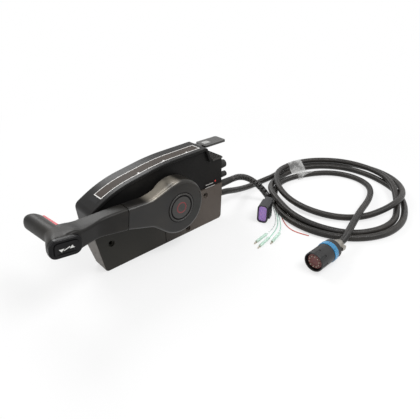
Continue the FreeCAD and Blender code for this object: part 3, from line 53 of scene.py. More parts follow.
# A pale painted reflection for the face of the other end.
END_PAINTED_REFLECTION = (0.135, 0.122, 0.108)
PAINTED_LIGHT_FROM, PAINTED_LIGHT_FULL = -0.06, 0.10
END_FROM, END_FULL = -0.11, -0.13


def grain_group():
    """Colour, roughness and height of a moulded or cast skin, from two sizes of noise."""
    group = bpy.data.node_groups.new("moulded grain", "ShaderNodeTree")
    sockets = group.interface
    for name, kind in (("Colour", "NodeSocketColor"), ("Worn", "NodeSocketColor"), ("Cloud Scale", "NodeSocketFloat"),
                       ("Grain Scale", "NodeSocketFloat"), ("Rough", "NodeSocketFloat"),
                       ("Rough Swing", "NodeSocketFloat"), ("Wear", "NodeSocketFloat")):
        sockets.new_socket(name, in_out="INPUT", socket_type=kind)
    for name, kind in (("Colour", "NodeSocketColor"), ("Roughness", "NodeSocketFloat"), ("Height", "NodeSocketFloat")):
        sockets.new_socket(name, in_out="OUTPUT", socket_type=kind)
    add = group.nodes.new
    link = group.links.new
    put, out = add("NodeGroupInput"), add("NodeGroupOutput")
    place = add("ShaderNodeTexCoord")
    cloud, grain = add("ShaderNodeTexNoise"), add("ShaderNodeTexNoise")
    cloud.inputs["Detail"].default_value = 5
    grain.inputs["Detail"].default_value = 2
    link(put.outputs["Cloud Scale"], cloud.inputs["Scale"])
    link(put.outputs["Grain Scale"], grain.inputs["Scale"])
    for noise in (cloud, grain):
        link(place.outputs["Object"], noise.inputs["Vector"])
    spread = add("ShaderNodeMapRange")
    spread.inputs["From Min"].default_value = 0.35
    spread.inputs["From Max"].default_value = 0.7
    link(cloud.outputs["Fac"], spread.inputs["Value"])
    share = add("ShaderNodeMath")
    share.operation = "MULTIPLY"
    link(spread.outputs["Result"], share.inputs[0])
    link(put.outputs["Wear"], share.inputs[1])
    colour = add("ShaderNodeMix")
    colour.data_type = "RGBA"
    link(share.outputs[0], colour.inputs["Factor"])
    link(put.outputs["Colour"], colour.inputs["A"])
    link(put.outputs["Worn"], colour.inputs["B"])
    swing = add("ShaderNodeMath")
    swing.operation = "MULTIPLY_ADD"
    link(cloud.outputs["Fac"], swing.inputs[0])
    link(put.outputs["Rough Swing"], swing.inputs[1])
    link(put.outputs["Rough"], swing.inputs[2])
    link(colour.outputs["Result"], out.inputs["Colour"])
    link(swing.outputs[0], out.inputs["Roughness"])
    link(grain.outputs["Fac"], out.inputs["Height"])
    return group


GRAIN = grain_group()


def skin(name, colour, wear_and_highlight, rough, swing=0.12, cloud=9.0, grain=900.0, depth=0.3, reach=0.0002, wear=0.7, **plain):
    """A material of the moulded grain, with values of its own."""
    material = bpy.data.materials.new(name)
    material.use_nodes = True
    tree = material.node_tree
    shader = tree.nodes["Principled BSDF"]
    group = tree.nodes.new("ShaderNodeGroup")
    group.node_tree = GRAIN
    group.inputs["Colour"].default_value = (*colour, 1)
    group.inputs["Worn"].default_value = (*wear_and_highlight, 1)
    for key, value in (("Cloud Scale", cloud), ("Grain Scale", grain), ("Rough", rough - swing / 2),
                       ("Rough Swing", swing), ("Wear", wear)):
        group.inputs[key].default_value = value
    bump = tree.nodes.new("ShaderNodeBump")
    bump.inputs["Strength"].default_value = depth
    bump.inputs["Distance"].default_value = reach
    tree.links.new(group.outputs["Height"], bump.inputs["Height"])
    tree.links.new(group.outputs["Colour"], shader.inputs["Base Color"])
    tree.links.new(group.outputs["Roughness"], shader.inputs["Roughness"])
    tree.links.new(bump.outputs["Normal"], shader.inputs["Normal"])
    for key, value in plain.items():
        shader.inputs[key.replace("_", " ").title().replace("Ior", "IOR")].default_value = value
    return material


def dress(material, *names):
    """Gives CAD nodes that keep their own shape a finish."""
    for name in names:
        slots = nodes[name].data.materials
        slots.clear()
        slots.append(material)


def coordinates(tree, output="Object"):
    """A material's Texture Coordinate node, and one of its outputs as separate axes."""
    place = tree.nodes.new("ShaderNodeTexCoord")
    axes = tree.nodes.new("ShaderNodeSeparateXYZ")
    tree.links.new(place.outputs[output], axes.inputs[0])
    return place, axes.outputs


def maths(tree, kind, one, other=0.0):
    """The result of a Math node on two values, each a socket or a number."""
    node = tree.nodes.new("ShaderNodeMath")
    node.operation = kind
    for socket, value in zip(node.inputs, (one, other)):
        if isinstance(value, float):
            socket.default_value = value
        else:
            tree.links.new(value, socket)
    return node.outputs[0]


def rise(tree, source, start, end):
    """A smooth rise from 0 to 1, as a value goes from start to end."""
    ramp = tree.nodes.new("ShaderNodeMapRange")
    ramp.interpolation_type = "SMOOTHSTEP"
    ramp.inputs["From Min"].default_value = start
    ramp.inputs["From Max"].default_value = end
    tree.links.new(source, ramp.inputs["Value"])
    return ramp.outputs["Result"]


def patches(tree, place, scale, detail=2.0):
    """Noise on a piece's own coordinates."""
    noise = tree.nodes.new("ShaderNodeTexNoise")
    noise.inputs["Scale"].default_value = scale
    noise.inputs["Detail"].default_value = detail
    tree.links.new(place.outputs["Object"], noise.inputs["Vector"])
    return noise.outputs["Fac"]


def tint(tree, colour, mask):
    """Lays a colour over the material's own where the mask is 1."""
    base = tree.nodes["Principled BSDF"].inputs["Base Color"]
    blend = tree.nodes.new("ShaderNodeMix")
    blend.data_type = "RGBA"
    blend.inputs["B"].default_value = (*colour, 1)
    tree.links.new(mask, blend.inputs["Factor"])
    tree.links.new(base.links[0].from_socket, blend.inputs["A"])
    tree.links.new(blend.outputs["Result"], base)


def case_material():
    """Grained nylon with painted light: paler towards the cable end, and a pale painted reflection on the other end.
    """
    material = skin("grained case nylon", CASE_COLOUR, CASE_DUSTY, 0.46, swing=0.2, cloud=7, grain=1400, depth=0.25,
                    specular_ior_level=0.24)
    tree = material.node_tree
    place, axes = coordinates(tree)
    # Painted light: the case is painted paler towards the cable end, where the light falls.
    tint(tree, CASE_PAINTED_LIGHT, rise(tree, axes["X"], PAINTED_LIGHT_FROM, PAINTED_LIGHT_FULL))
    facing = coordinates(tree, "Normal")[1]
    # Painted reflection: a pale patch on the other end's face, broken up by noise.
    end_face = maths(tree, "MULTIPLY", rise(tree, facing["X"], -0.55, -0.85),
                     rise(tree, axes["X"], END_FROM, END_FULL))
    reflection_breakup = rise(tree, patches(tree, place, 120, 6), 0.0, 0.6)
    tint(tree, END_PAINTED_REFLECTION, maths(tree, "MULTIPLY", end_face, reflection_breakup))
    return material


case_plastic = case_material()
dress(case_plastic, "rear_housing", "front_cover")

# Hood
# A separate satin moulding over the top of the case, screwed on from inside, with a ribbed matt cap
# at the cable end.

hood_plastic = skin("satin hood plastic", (0.0080, 0.0078, 0.0078), (0.015, 0.014, 0.013), 0.36, swing=0.14,
                    cloud=12, grain=1600, depth=0.12, specular_ior_level=0.12)
dress(hood_plastic, "top_hood")
cap_plastic = skin("matt cap plastic", (0.026, 0.024, 0.0215), (0.062, 0.057, 0.051), 0.55, cloud=160, grain=520,
                   depth=0.7, reach=0.0004)
dress(cap_plastic, "end_cap", "friction_shoe")

# Scale inlay
# A thin textured strip bonded into the hood's recess, brown-grey, with a printed white border and three
# plain ticks on its near line. The hood's black shows outside the border.

STRIP_LEFT, STRIP_RIGHT = -0.124, 0.080
STRIP_FRONT, STRIP_BACK = -0.040, -0.018
BORDER_INSET, BORDER_WIDTH = 0.0003, 0.0014
TICKS = (-0.051, 0.000, 0.050)
TICK_HALF, TICK_LENGTH = 0.0016, 0.0042
STRIP_EDGE = (0.0095, 0.0095, 0.010)
PRINT_WHITE = (0.82, 0.81, 0.79)


def strip_material():
    """The strip's brown ground, its black edge, and its printed lines as bands of the two flat axes."""
    material = skin("printed scale strip", (0.036, 0.028, 0.023), (0.066, 0.052, 0.043), 0.6, grain=700, depth=0.6,
                    cloud=40, specular_ior_level=0.18)
    tree = material.node_tree
    base = tree.nodes["Principled BSDF"].inputs["Base Color"]
    axes = coordinates(tree)[1]

    def within(x0, x1, y0, y1):
        """1 inside a rectangle seen from above."""
        sides = []
        for axis, start, end in (("X", x0, x1), ("Y", y0, y1)):
            band = tree.nodes.new("ShaderNodeMath")
            band.operation = "COMPARE"
            band.inputs[1].default_value = (start + end) / 2
            band.inputs[2].default_value = (end - start) / 2
            tree.links.new(axes[axis], band.inputs[0])
            sides.append(band.outputs[0])
        return maths(tree, "MULTIPLY", *sides)

    left, right = STRIP_LEFT + BORDER_INSET, STRIP_RIGHT - BORDER_INSET
    front, back = STRIP_FRONT + BORDER_INSET, STRIP_BACK - BORDER_INSET
    lines = [(left, right, front, front + BORDER_WIDTH), (left, right, back - BORDER_WIDTH, back),
             (left, left + BORDER_WIDTH, front, back), (right - BORDER_WIDTH, right, front, back)]
    lines += [(x - TICK_HALF, x + TICK_HALF, front, front + TICK_LENGTH) for x in TICKS]
    printed = within(*lines[0])
    for line in lines[1:]:
        printed = maths(tree, "MAXIMUM", printed, within(*line))
    ground = tree.nodes.new("ShaderNodeMix")
    ground.data_type = "RGBA"
    ground.inputs["A"].default_value = (*STRIP_EDGE, 1)
    tree.links.new(within(left, right, front, back), ground.inputs["Factor"])
    tree.links.new(base.links[0].from_socket, ground.inputs["B"])
    tree.links.new(ground.outputs["Result"], base)
    tint(tree, PRINT_WHITE, printed)
    return material


dress(strip_material(), "scale_strip")

# Steel pieces
# Turned and stamped zinc-plated steel: the shaft, axles, screws, arms and clips. The plating is dull and
# a little yellowed.

steel = skin("zinc plated steel", (0.36, 0.35, 0.33), (0.27, 0.25, 0.21), 0.34, cloud=60, grain=500, depth=0.15,
             metallic=1.0)
dress(steel, "main_shaft", "throttle_axle", "shift_axle", "detent_disc", "detent_roller", "detent_spring",
      "throttle_arm", "throttle_pin", "shift_arm", "shift_pin", "fast_idle_pin", "rocker_pin", "lock_rod",
      "hub_bolt", "hub_washer", "drive_gear")
dark_steel = skin("blackened screw steel", (0.03, 0.029, 0.028), (0.06, 0.055, 0.05), 0.4, cloud=80, grain=600,
                  depth=0.2, metallic=0.6)
dress(dark_steel, "case_screws", "friction_screw")
bronze = skin("sintered bronze", (0.36, 0.22, 0.10), (0.22, 0.13, 0.06), 0.45, cloud=70, grain=1500, depth=0.5,
              metallic=1.0)
dress(bronze, "front_bush", "rear_bush")

# Gears and blocks inside the case
# Natural acetal, cream white and slightly waxy, with grease darkening it in patches.

acetal = skin("greased acetal", (0.55, 0.52, 0.45), (0.35, 0.3, 0.22), 0.4, cloud=35, grain=900, depth=0.1,
              subsurface_weight=0.05)
dress(acetal, "throttle_gear", "shift_gear", "cable_anchor")
dress(skin("switch housing", (0.02, 0.02, 0.022), (0.035, 0.034, 0.032), 0.3, grain=1200, depth=0.1),
      "neutral_switch")

# Marker beside the hub
# A red moulded dot pressed into the cover, with two plain pale index lines painted beside and under it.

marker_red = skin("red marker", (0.62, 0.05, 0.045), (0.5, 0.04, 0.035), 0.3, cloud=50, grain=900, depth=0.1)
dress(marker_red, "marker_dot")
index_paint = skin("index paint", (0.5, 0.48, 0.46), (0.38, 0.36, 0.34), 0.5, cloud=200, grain=900, depth=0.1)
INDEX_LINES = ((0.097, 0.0000, 0.019), (0.099, -0.0060, 0.025))
COVER_FACE, LINE_THICK, LINE_HIGH, LINE_EDGE = -0.0461, 0.0004, 0.0012, 0.00015


def clear_choice():
    """Nothing stays selected, because an operator acts on all that is."""
    if bpy.context.object and bpy.context.object.mode != "OBJECT":
        bpy.ops.object.mode_set(mode="OBJECT")
    bpy.ops.object.select_all(action="DESELECT")


def soften(piece, width, segments=3, angle=40):
    """Bevels a piece's sharp edges and smooths its faces."""
    bevel = piece.modifiers.new("soft edges", "BEVEL")
    bevel.width = width
    bevel.segments = segments
    bevel.limit_method = "ANGLE"
    bevel.angle_limit = math.radians(angle)
    clear_choice()
    piece.select_set(True)
    bpy.context.view_layer.objects.active = piece
    bpy.ops.object.modifier_apply(modifier=bevel.name)
    bpy.ops.object.shade_smooth_by_angle(angle=math.radians(35))


def settle(piece, body, material):
    """Moves a finished piece's place into its mesh, and hangs it on its body."""
    clear_choice()
    piece.select_set(True)
    bpy.context.view_layer.objects.active = piece
    bpy.ops.object.transform_apply(location=True, rotation=True, scale=True)
    piece.data.materials.clear()
    piece.data.materials.append(material)
    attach(piece, body)
    return piece


def bar(name, at, size, round_width, turn=0.0):
    """A small bar with rounded edges, turned about Y."""
    clear_choice()
    bpy.ops.mesh.primitive_cube_add(size=1, location=at)
    piece = bpy.context.object
    piece.name = name
    piece.scale = size
    bpy.ops.object.transform_apply(location=False, rotation=False, scale=True)
    soften(piece, round_width)
    piece.rotation_euler = (0, turn, 0)
    return piece


for number, (x, z, length) in enumerate(INDEX_LINES):
    line = bar(f"index_line_{number}", (x, COVER_FACE, z), (length, LINE_THICK, LINE_HIGH), LINE_EDGE)
    settle(line, "housing", index_paint)

# Lever casting
# Die-cast aluminium, painted dark charcoal in a semi-gloss enamel, with a warm grey painted highlight
# along the top of the neck.

# Painted highlight: a warm grey, partly metallic, laid along the top of the neck.
NECK_PAINTED_HIGHLIGHT = (0.37, 0.335, 0.28)
NECK_HIGHLIGHT_METALLIC = 0.35
NECK_TOP = (("Z", 0.028, 0.036), ("Y", -0.0803, -0.0775), ("X", -0.070, -0.050), ("X", 0.006, -0.012))


def enamel_material():
    """Dark enamel, with a warm grey painted highlight, partly metallic, along the top of the neck."""
    material = skin("charcoal enamel", (0.0095, 0.0092, 0.009), (0.026, 0.022, 0.017), 0.3, swing=0.14, cloud=14,
                    grain=1000, depth=0.15, specular_ior_level=0.3, coat_weight=0.1, coat_roughness=0.14)
    tree = material.node_tree
    place, axes = coordinates(tree)
    # The painted highlight along the neck's top, broken up by soft noise.
    wear_and_highlight = rise(tree, patches(tree, place, 24), 0.25, 0.62)
    for axis, start, end in NECK_TOP:
        wear_and_highlight = maths(tree, "MULTIPLY", wear_and_highlight, rise(tree, axes[axis], start, end))
    tint(tree, NECK_PAINTED_HIGHLIGHT, wear_and_highlight)
    tree.links.new(maths(tree, "MULTIPLY", wear_and_highlight, NECK_HIGHLIGHT_METALLIC), tree.nodes["Principled BSDF"].inputs["Metallic"])
    return material


dress(enamel_material(), "lever_casting")

# Handle
# Soft-touch nylon moulded over the casting's tongue, with a fine satin grain, a little paler where the palm
# wears it. A glossy black bezel and trim key close its outer end, and a red release bar slides in the grip.

grip_nylon = skin("soft-touch grip", (0.0100, 0.0094, 0.0088), (0.029, 0.0255, 0.021), 0.40, swing=0.16, cloud=18,
                  grain=1300, depth=0.25, specular_ior_level=0.18)
LEVER_TILT = math.radians(8.0)
TRIGGER_SUNK = 0.0045
SEAM, ARM_END, GRIP_AXIS, GRIP_RADIUS = -0.1034, -0.190, -0.213, 0.018
GRIP_SLIM, ARM_TOP_SLIM, ARM_LOW_SLIM = 0.71, 0.62, 0.78
KNUCKLE_TOP_SLIM, KNUCKLE_LOW_SLIM = 0.76, 0.86
KNUCKLE_FROM, KNUCKLE_FULL = -0.076, -0.097
GRIP_FROM, GRIP_FULL = -0.060, -0.094
ARM_SIDE, GRIP_SIDE = -0.182, -0.203
GRIP_ROOT, GRIP_BACK, GRIP_LEAN = -0.066, -0.001, -0.0085
SADDLE_X, SADDLE_Y, SADDLE_Z = (-0.204, -0.176), (-0.080, -0.046), 0.006
SKIN_CELL, SADDLE_PASSES, SKIN_PASSES = 0.0011, 30, 5


def ease(value, start, end):
    """0 before start, 1 after end, and a smooth rise between them."""
    share = min(max((value - start) / (end - start), 0.0), 1.0)
    return share * share * (3 - 2 * share)


def lean_at(y):
    """How far the grip leans away from the hub, from its root to its end."""
    return GRIP_LEAN * max((y - GRIP_ROOT) / (GRIP_BACK - GRIP_ROOT), 0.0)


def slimmed(point):
    """Where a point of the handle goes, as the arm tapers to the knuckle and the grip is slim for the hand."""
    x, y, z = point
    arm = ease(x, SEAM, ARM_END)
    knuckle = ease(y, KNUCKLE_FROM, KNUCKLE_FULL)
    above = ARM_TOP_SLIM + (KNUCKLE_TOP_SLIM - ARM_TOP_SLIM) * knuckle
    below = ARM_LOW_SLIM + (KNUCKLE_LOW_SLIM - ARM_LOW_SLIM) * knuckle
    arm_scale = 1 - arm * (1 - (above if z > 0 else below))
    grip = 1 - ease(y, GRIP_FROM, GRIP_FULL)
    off = x - GRIP_AXIS
    across = 1 - (1 - GRIP_SLIM) * grip
    upright = 1 - (1 - GRIP_SLIM) * grip * ease(abs(z), 0.0, GRIP_RADIUS)
    inside = ease(x, ARM_SIDE, GRIP_SIDE)
    height = arm_scale * (1 - inside) + upright * inside
    return Vector((x + inside * (off * (across - 1) + lean_at(y)), y, z * height))


def own_copy(node, name):
    """A new object with a CAD node's mesh, to shape further."""
    piece = bpy.data.objects.new(name, nodes[node].data.copy())
    bpy.context.scene.collection.objects.link(piece)
    return piece


def moulded_handle():
    """The handle in one skin, with its corners softened as the mould leaves them."""
    clear_choice()
    piece = own_copy("handle_shell", "moulded_handle")
    piece.select_set(True)
    bpy.context.view_layer.objects.active = piece
    bpy.ops.object.mode_set(mode="EDIT")
    bpy.ops.mesh.select_all(action="SELECT")
    bpy.ops.mesh.remove_doubles(threshold=0.00001)
    bpy.ops.object.mode_set(mode="OBJECT")
    cells = piece.modifiers.new("one skin", "REMESH")
    cells.mode = "VOXEL"
    cells.voxel_size = SKIN_CELL
    bpy.ops.object.modifier_apply(modifier=cells.name)
    level = Matrix.Rotation(-LEVER_TILT, 4, "Y")
    tilted = level.inverted()
    for vertex in piece.data.vertices:
        vertex.co = tilted @ slimmed(level @ vertex.co)
    saddle = piece.vertex_groups.new(name="saddle")
    for vertex in piece.data.vertices:
        x, y, z = level @ vertex.co
        if SADDLE_X[0] < x < SADDLE_X[1] and SADDLE_Y[0] < y < SADDLE_Y[1] and abs(z) > SADDLE_Z:
            saddle.add([vertex.index], 1.0, "REPLACE")
    for name, group, times in (("saddle", "saddle", SADDLE_PASSES), ("skin", "", SKIN_PASSES)):
        smooth = piece.modifiers.new(name, "SMOOTH")
        smooth.factor = 0.5
        smooth.iterations = times
        smooth.vertex_group = group
        bpy.ops.object.modifier_apply(modifier=smooth.name)
    bpy.ops.object.shade_smooth()
    return piece


def leaning_trigger():
    """The release bar, set deeper in the slim grip and leaning with it."""
    piece = own_copy("lock_trigger", "release_bar")
    level = Matrix.Rotation(-LEVER_TILT, 4, "Y")
    for vertex in piece.data.vertices:
        at = level @ vertex.co
        at.x += lean_at(at.y) - TRIGGER_SUNK
        vertex.co = level.inverted() @ at
    return piece


handle = settle(moulded_handle(), "lever", grip_nylon)
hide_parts("handle_shell")
dress(skin("bezel plastic", (0.005, 0.005, 0.0055), (0.009, 0.009, 0.009), 0.26, grain=1500, depth=0.08,
           specular_ior_level=0.16),
      "trim_bezel", "trim_rocker")
red_release = skin("red release", (0.62, 0.045, 0.06), (0.47, 0.035, 0.045), 0.33, cloud=60, grain=900, depth=0.15,
                   subsurface_weight=0.05)
trigger = settle(leaning_trigger(), "release", red_release)
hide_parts("lock_trigger")

# Rocker marks
# Two plain arrowheads with a short stem between them, inlaid in white on the trim key, one for each way
# that it rocks.

ROCKER_FACE = -0.1052
ARROW_RADIUS, ARROW_THICK, ARROW_FLAT, ARROW_APART, ARROW_RAISED = 0.0042, 0.0006, 0.7, 0.0072, 0.0005
MARK_EDGE = 0.0002
STEM_LONG, STEM_HIGH, STEM_TURN = 0.0095, 0.0011, math.radians(24)
key_along = Vector((math.cos(LEVER_TILT), 0, -math.sin(LEVER_TILT)))
key_up = Vector((math.sin(LEVER_TILT), 0, math.cos(LEVER_TILT)))
key_middle = key_along * GRIP_AXIS + Vector((0, ROCKER_FACE, 0))
mark_white = skin("inlaid white", (0.72, 0.72, 0.7), (0.6, 0.6, 0.58), 0.4, cloud=120, grain=900, depth=0.1)


def arrowhead(name, middle, way):
    """A thin three-sided prism, flattened on the key's face."""
    clear_choice()
    bpy.ops.mesh.primitive_cylinder_add(vertices=3, radius=ARROW_RADIUS, depth=ARROW_THICK, location=middle,
                                        rotation=(math.radians(90), 0, 0))
    piece = bpy.context.object
    piece.name = name
    bpy.ops.object.transform_apply(location=False, rotation=True, scale=False)
    piece.scale = (1.0, 1.0, ARROW_FLAT)
    bpy.ops.object.transform_apply(location=False, rotation=False, scale=True)
    piece.rotation_euler = (0, LEVER_TILT + (0 if way > 0 else math.pi), 0)
    soften(piece, MARK_EDGE)
    return settle(piece, "rocker", mark_white)


arrowhead("rocker_mark_up", key_middle + key_along * ARROW_APART + key_up * ARROW_RAISED, 1)
arrowhead("rocker_mark_down", key_middle - key_along * ARROW_APART - key_up * ARROW_RAISED, -1)
stem = bar("rocker_mark_stem", key_middle, (STEM_LONG, ARROW_THICK, STEM_HIGH), MARK_EDGE, LEVER_TILT - STEM_TURN)
settle(stem, "rocker", mark_white)

# Hub cap
# A black moulded cap over the shaft's bolt, with a raised ring, and a plain dull red ring let into its
# middle. Two flat black rings are painted shade in the groove inside the raised ring and in the gap round it.

dress(skin("hub cap plastic", (0.024, 0.0225, 0.021), (0.044, 0.039, 0.035), 0.42, grain=1200, depth=0.25, cloud=20),
      "hub_cap")
cap_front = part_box("hub_cap")[0].y
RING_FLAT = 0.6


def cap_ring(name, radius, width, depth, material):
    """A flat ring round the shaft's line, let into the cap."""
    clear_choice()
    bpy.ops.mesh.primitive_torus_add(major_radius=radius, minor_radius=width / 2, major_segments=96,
                                     minor_segments=12, location=(0, cap_front + depth, 0),
                                     rotation=(math.radians(90), 0, 0))
    piece = bpy.context.object
    piece.name = name
    piece.scale = (1, 1, RING_FLAT)
    bpy.ops.object.transform_apply(location=False, rotation=True, scale=True)
    bpy.ops.object.shade_smooth()
    settle(piece, "lever", material)


cap_ring("cap_inlay_ring", 0.0092, 0.0024, 0.0008,
         skin("dull red inlay", (0.20, 0.024, 0.027), (0.12, 0.018, 0.02), 0.5, cloud=120, grain=900, depth=0.2))
# Painted shade: flat black rings laid in the groove and in the gap round the cap.
gap_painted_shade = skin("painted groove shade", (0.003, 0.003, 0.003), (0.006, 0.0055, 0.005), 0.6, cloud=120, grain=900, depth=0.2,
                 specular_ior_level=0.08)
cap_ring("cap_inner_groove_shade", 0.0214, 0.0030, 0.0011, gap_painted_shade)
cap_ring("cap_outer_gap_shade", 0.0268, 0.0016, 0.0014, gap_painted_shade)

# Fast idle lever
# A flat moulded flap on a steel pin between two ears of the hood, with a plain pale patch on its top.

dress(skin("flap plastic", (0.024, 0.0235, 0.022), (0.05, 0.047, 0.042), 0.36, grain=1200, depth=0.25, cloud=25),
      "fast_idle_lever")
flap_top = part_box("fast_idle_lever")[1].z
PATCH_X, PATCH_Y, PATCH_RAISED = 0.1165, -0.0145, 0.0001
PATCH_SIZE, PATCH_EDGE = (0.0150, 0.0115, 0.0005), 0.0002
patch = bar("flap_patch", (PATCH_X, PATCH_Y, flap_top + PATCH_RAISED), PATCH_SIZE, PATCH_EDGE)
settle(patch, "fast_idle", skin("pale patch", (0.36, 0.36, 0.35), (0.24, 0.24, 0.235), 0.45, cloud=90,
                                              grain=900, depth=0.2))

# Boots at the cable end
# Moulded rubber strain reliefs through the case's end wall: two carry leads and two are blanked off.

rubber = skin("boot rubber", (0.0085, 0.0082, 0.0078), (0.02, 0.0185, 0.0165), 0.5, cloud=30, grain=900, depth=0.4,
              specular_ior_level=0.3)
dress(rubber, "lead_boot", "branch_boot", "low_spare_boot", "spare_boot")

# Main lead
# A 13 mm loom of wires in a tight black sleeve. It leaves the case at the floor, lies on the floor in three
# loose turns that are taped together at the back, and comes over them to the round plug.

LEAD_DIAMETER = 0.0132
LEAD_ROUTE = [
    (143, -23, -45), (166, -22, -48), (192, -17, -57), (220, -9, -67), (250, -3, -75), (284, 0, -79.2),
    (320, 0, -79.3), (352, -2, -79.2), (410, 7, -79.3), (469, 2, -79.2), (523, -29, -79), (559, -81, -78),
    (569, -144, -76), (551, -203, -73), (512, -247, -70), (465, -273, -66), (416, -281, -64), (371, -272, -71),
    (332, -255, -77), (301, -228, -79), (279, -194, -77), (270, -154, -75), (273, -113, -72), (289, -73, -68),
    (319, -37, -64), (360, -10, -64), (409, -1, -67), (463, -8, -68), (513, -37, -69), (547, -86, -69),
    (553, -144, -69), (533, -197, -67), (497, -235, -66), (458, -262, -73), (416, -284, -79), (367, -303, -79.2),
    (311, -299, -79.2), (255, -269, -78.5), (227, -213, -76), (222, -156, -71), (243, -102, -66), (272, -59, -68),
    (311, -30, -75), (358, -16, -79), (407, -12, -79.2), (457, -21, -79.2), (501, -50, -79.2), (531, -94, -79.2),
    (537, -146, -79.2), (526, -194, -79.2), (502, -240, -79), (466, -274, -79), (420, -300, -79.2),
    (364, -318, -79.2), (301, -314, -79.2), (244, -280, -79.2), (212, -221, -79.2), (211, -156, -79.2),
    (237, -102, -79.2), (275, -68, -79.2), (307, -48, -79), (334, -37, -79), (364, -35, -79), (394, -41, -79),
    (423, -52, -79), (450, -66, -79), (473, -84, -79), (489, -109, -79), (495, -139, -79), (489, -168, -79),
    (470, -193, -77), (441, -212, -75), (406, -226, -72), (368, -237, -68), (329, -246, -64), (290, -256, -64),
    (256, -265, -65), (228, -273, -66), (209, -277, -67), (190, -277, -67.1),
]


def cord_curve(name, route, diameter, material, smooth=8, sides=6):
    """A cord as one bevelled NURBS spline through its route's control points, in millimetres."""
    curve = bpy.data.curves.new(name, "CURVE")
    curve.dimensions = "3D"
    spline = curve.splines.new("NURBS")
    spline.points.add(len(route) - 1)
    for point, (x, y, z) in zip(spline.points, route):
        point.co = (x / 1000, y / 1000, z / 1000, 1)
    spline.order_u = 3
    spline.use_endpoint_u = True
    curve.resolution_u = smooth
    curve.bevel_depth = diameter / 2
    curve.bevel_resolution = sides
    curve.use_fill_caps = True
    curve.materials.append(material)
    piece = bpy.data.objects.new(name, curve)
    bpy.context.scene.collection.objects.link(piece)
    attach(piece, "housing")
    return piece


def sleeve_material(name, colour, wear_and_highlight, rough, length, pitch, depth, slant=0.0, rib=0.0004, **plain):
    """A sleeve whose fine ribs run round it, from the cord's own UV map, slanted where it is wound tape."""
    material = skin(name, colour, wear_and_highlight, rough, swing=0.16, cloud=22, grain=1200, depth=0.25, **plain)
    tree = material.node_tree
    shader = tree.nodes["Principled BSDF"]
    axes = coordinates(tree, "UV")[1]
    along = maths(tree, "MULTIPLY", axes["X"], 2 * math.pi * length / pitch)
    around = maths(tree, "MULTIPLY", axes["Y"], 2 * math.pi * slant)
    wave = maths(tree, "SINE", maths(tree, "ADD", around, along))
    first = shader.inputs["Normal"].links[0].from_node
    ribs = tree.nodes.new("ShaderNodeBump")
    ribs.inputs["Strength"].default_value = depth
    ribs.inputs["Distance"].default_value = rib
    tree.links.new(wave, ribs.inputs["Height"])
    tree.links.new(first.outputs["Normal"], ribs.inputs["Normal"])
    tree.links.new(ribs.outputs["Normal"], shader.inputs["Normal"])
    return material


LEAD_LENGTH = 3.577
lead_sleeve = sleeve_material("lead sleeve", (0.0105, 0.0095, 0.0083), (0.032, 0.0275, 0.023), 0.34, LEAD_LENGTH,
                              0.0024, 0.35, specular_ior_level=0.3)
lead = cord_curve("main_lead", LEAD_ROUTE, LEAD_DIAMETER, lead_sleeve, smooth=10)
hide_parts("harness_coil", "lead_in", "lead_out")

# Round plug
# A glass-filled nylon shell with a dark red rubber insert and ten pins, locked by a bright blue turning
# ring, with a cast cord clamp and its two screws behind.

dress(skin("plug shell nylon", (0.011, 0.011, 0.0115), (0.024, 0.023, 0.022), 0.4, cloud=45, grain=1100, depth=0.35,
           specular_ior_level=0.36),
      "plug_shell", "plug_nut")
dress(skin("blue lock ring", (0.014, 0.235, 0.46), (0.009, 0.15, 0.32), 0.22, cloud=60, grain=900, depth=0.12,
           coat_weight=0.5, coat_roughness=0.08),
      "plug_ring")
PIN_TIP, INSERT_FACE, INSERT_BACK = 0.120, 0.127, 0.132
PIN_TIP_SEEN, INSERT_FACE_SEEN = 0.1178, 0.1205
PIN_BRASS = (0.42, 0.36, 0.28)


def insert_material():
    """Dark red rubber, with bright brass on the pins in front of its face."""
    material = skin("insert rubber", (0.135, 0.033, 0.029), (0.09, 0.022, 0.019), 0.4, cloud=90, grain=900, depth=0.3)
    tree = material.node_tree
    axes = coordinates(tree)[1]
    tint(tree, PIN_BRASS, maths(tree, "LESS_THAN", axes["X"], INSERT_FACE_SEEN - 0.0001))
    return material


def raised_insert():
    """The insert with its face near the plug's rim, and its pins shorter by as much."""
    piece = own_copy("plug_insert", "raised_insert")
    for vertex in piece.data.vertices:
        x = vertex.co.x
        if x < INSERT_FACE:
            share = (x - PIN_TIP) / (INSERT_FACE - PIN_TIP)
            vertex.co.x = PIN_TIP_SEEN + (INSERT_FACE_SEEN - PIN_TIP_SEEN) * share
        else:
            share = (x - INSERT_FACE) / (INSERT_BACK - INSERT_FACE)
            vertex.co.x = INSERT_FACE_SEEN + (INSERT_BACK - INSERT_FACE_SEEN) * share
    return piece


plug_face = settle(raised_insert(), "housing", insert_material())
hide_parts("plug_insert")
dress(skin("cast clamp", (0.36, 0.34, 0.30), (0.12, 0.11, 0.095), 0.32, cloud=55, grain=700, depth=0.5,
           metallic=0.9), "plug_clamp")

# Branch lead
# A shorter loom that leaves the case above the main lead. Its sleeve is wound with glossy tape, and ends
# where the sealed socket's own cord and four loose wires come out of it.

BRANCH_DIAMETER = 0.0136
BRANCH_ROUTE = [
    (177, -23, -25), (191, -23.2, -24.4), (205, -26, -25.2), (218.3, -31.6, -29.2), (230, -40.5, -37.5),
    (241, -50.5, -50), (249.5, -61, -64.5), (254, -72, -79),
]
BRANCH_LENGTH = 0.116
tape_skin = sleeve_material("wound tape", (0.0105, 0.010, 0.0092), (0.034, 0.030, 0.026), 0.24, BRANCH_LENGTH, 0.0085,
                            1.0, slant=1.0, rib=0.0011, specular_ior_level=0.4)
branch = cord_curve("branch_lead", BRANCH_ROUTE, BRANCH_DIAMETER, tape_skin, smooth=12)
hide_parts("branch_sleeve")

# Sealed socket
# A black moulded shell with a purple silicone seal in its mouth, standing on the floor at the end of a short
# cord of its own.

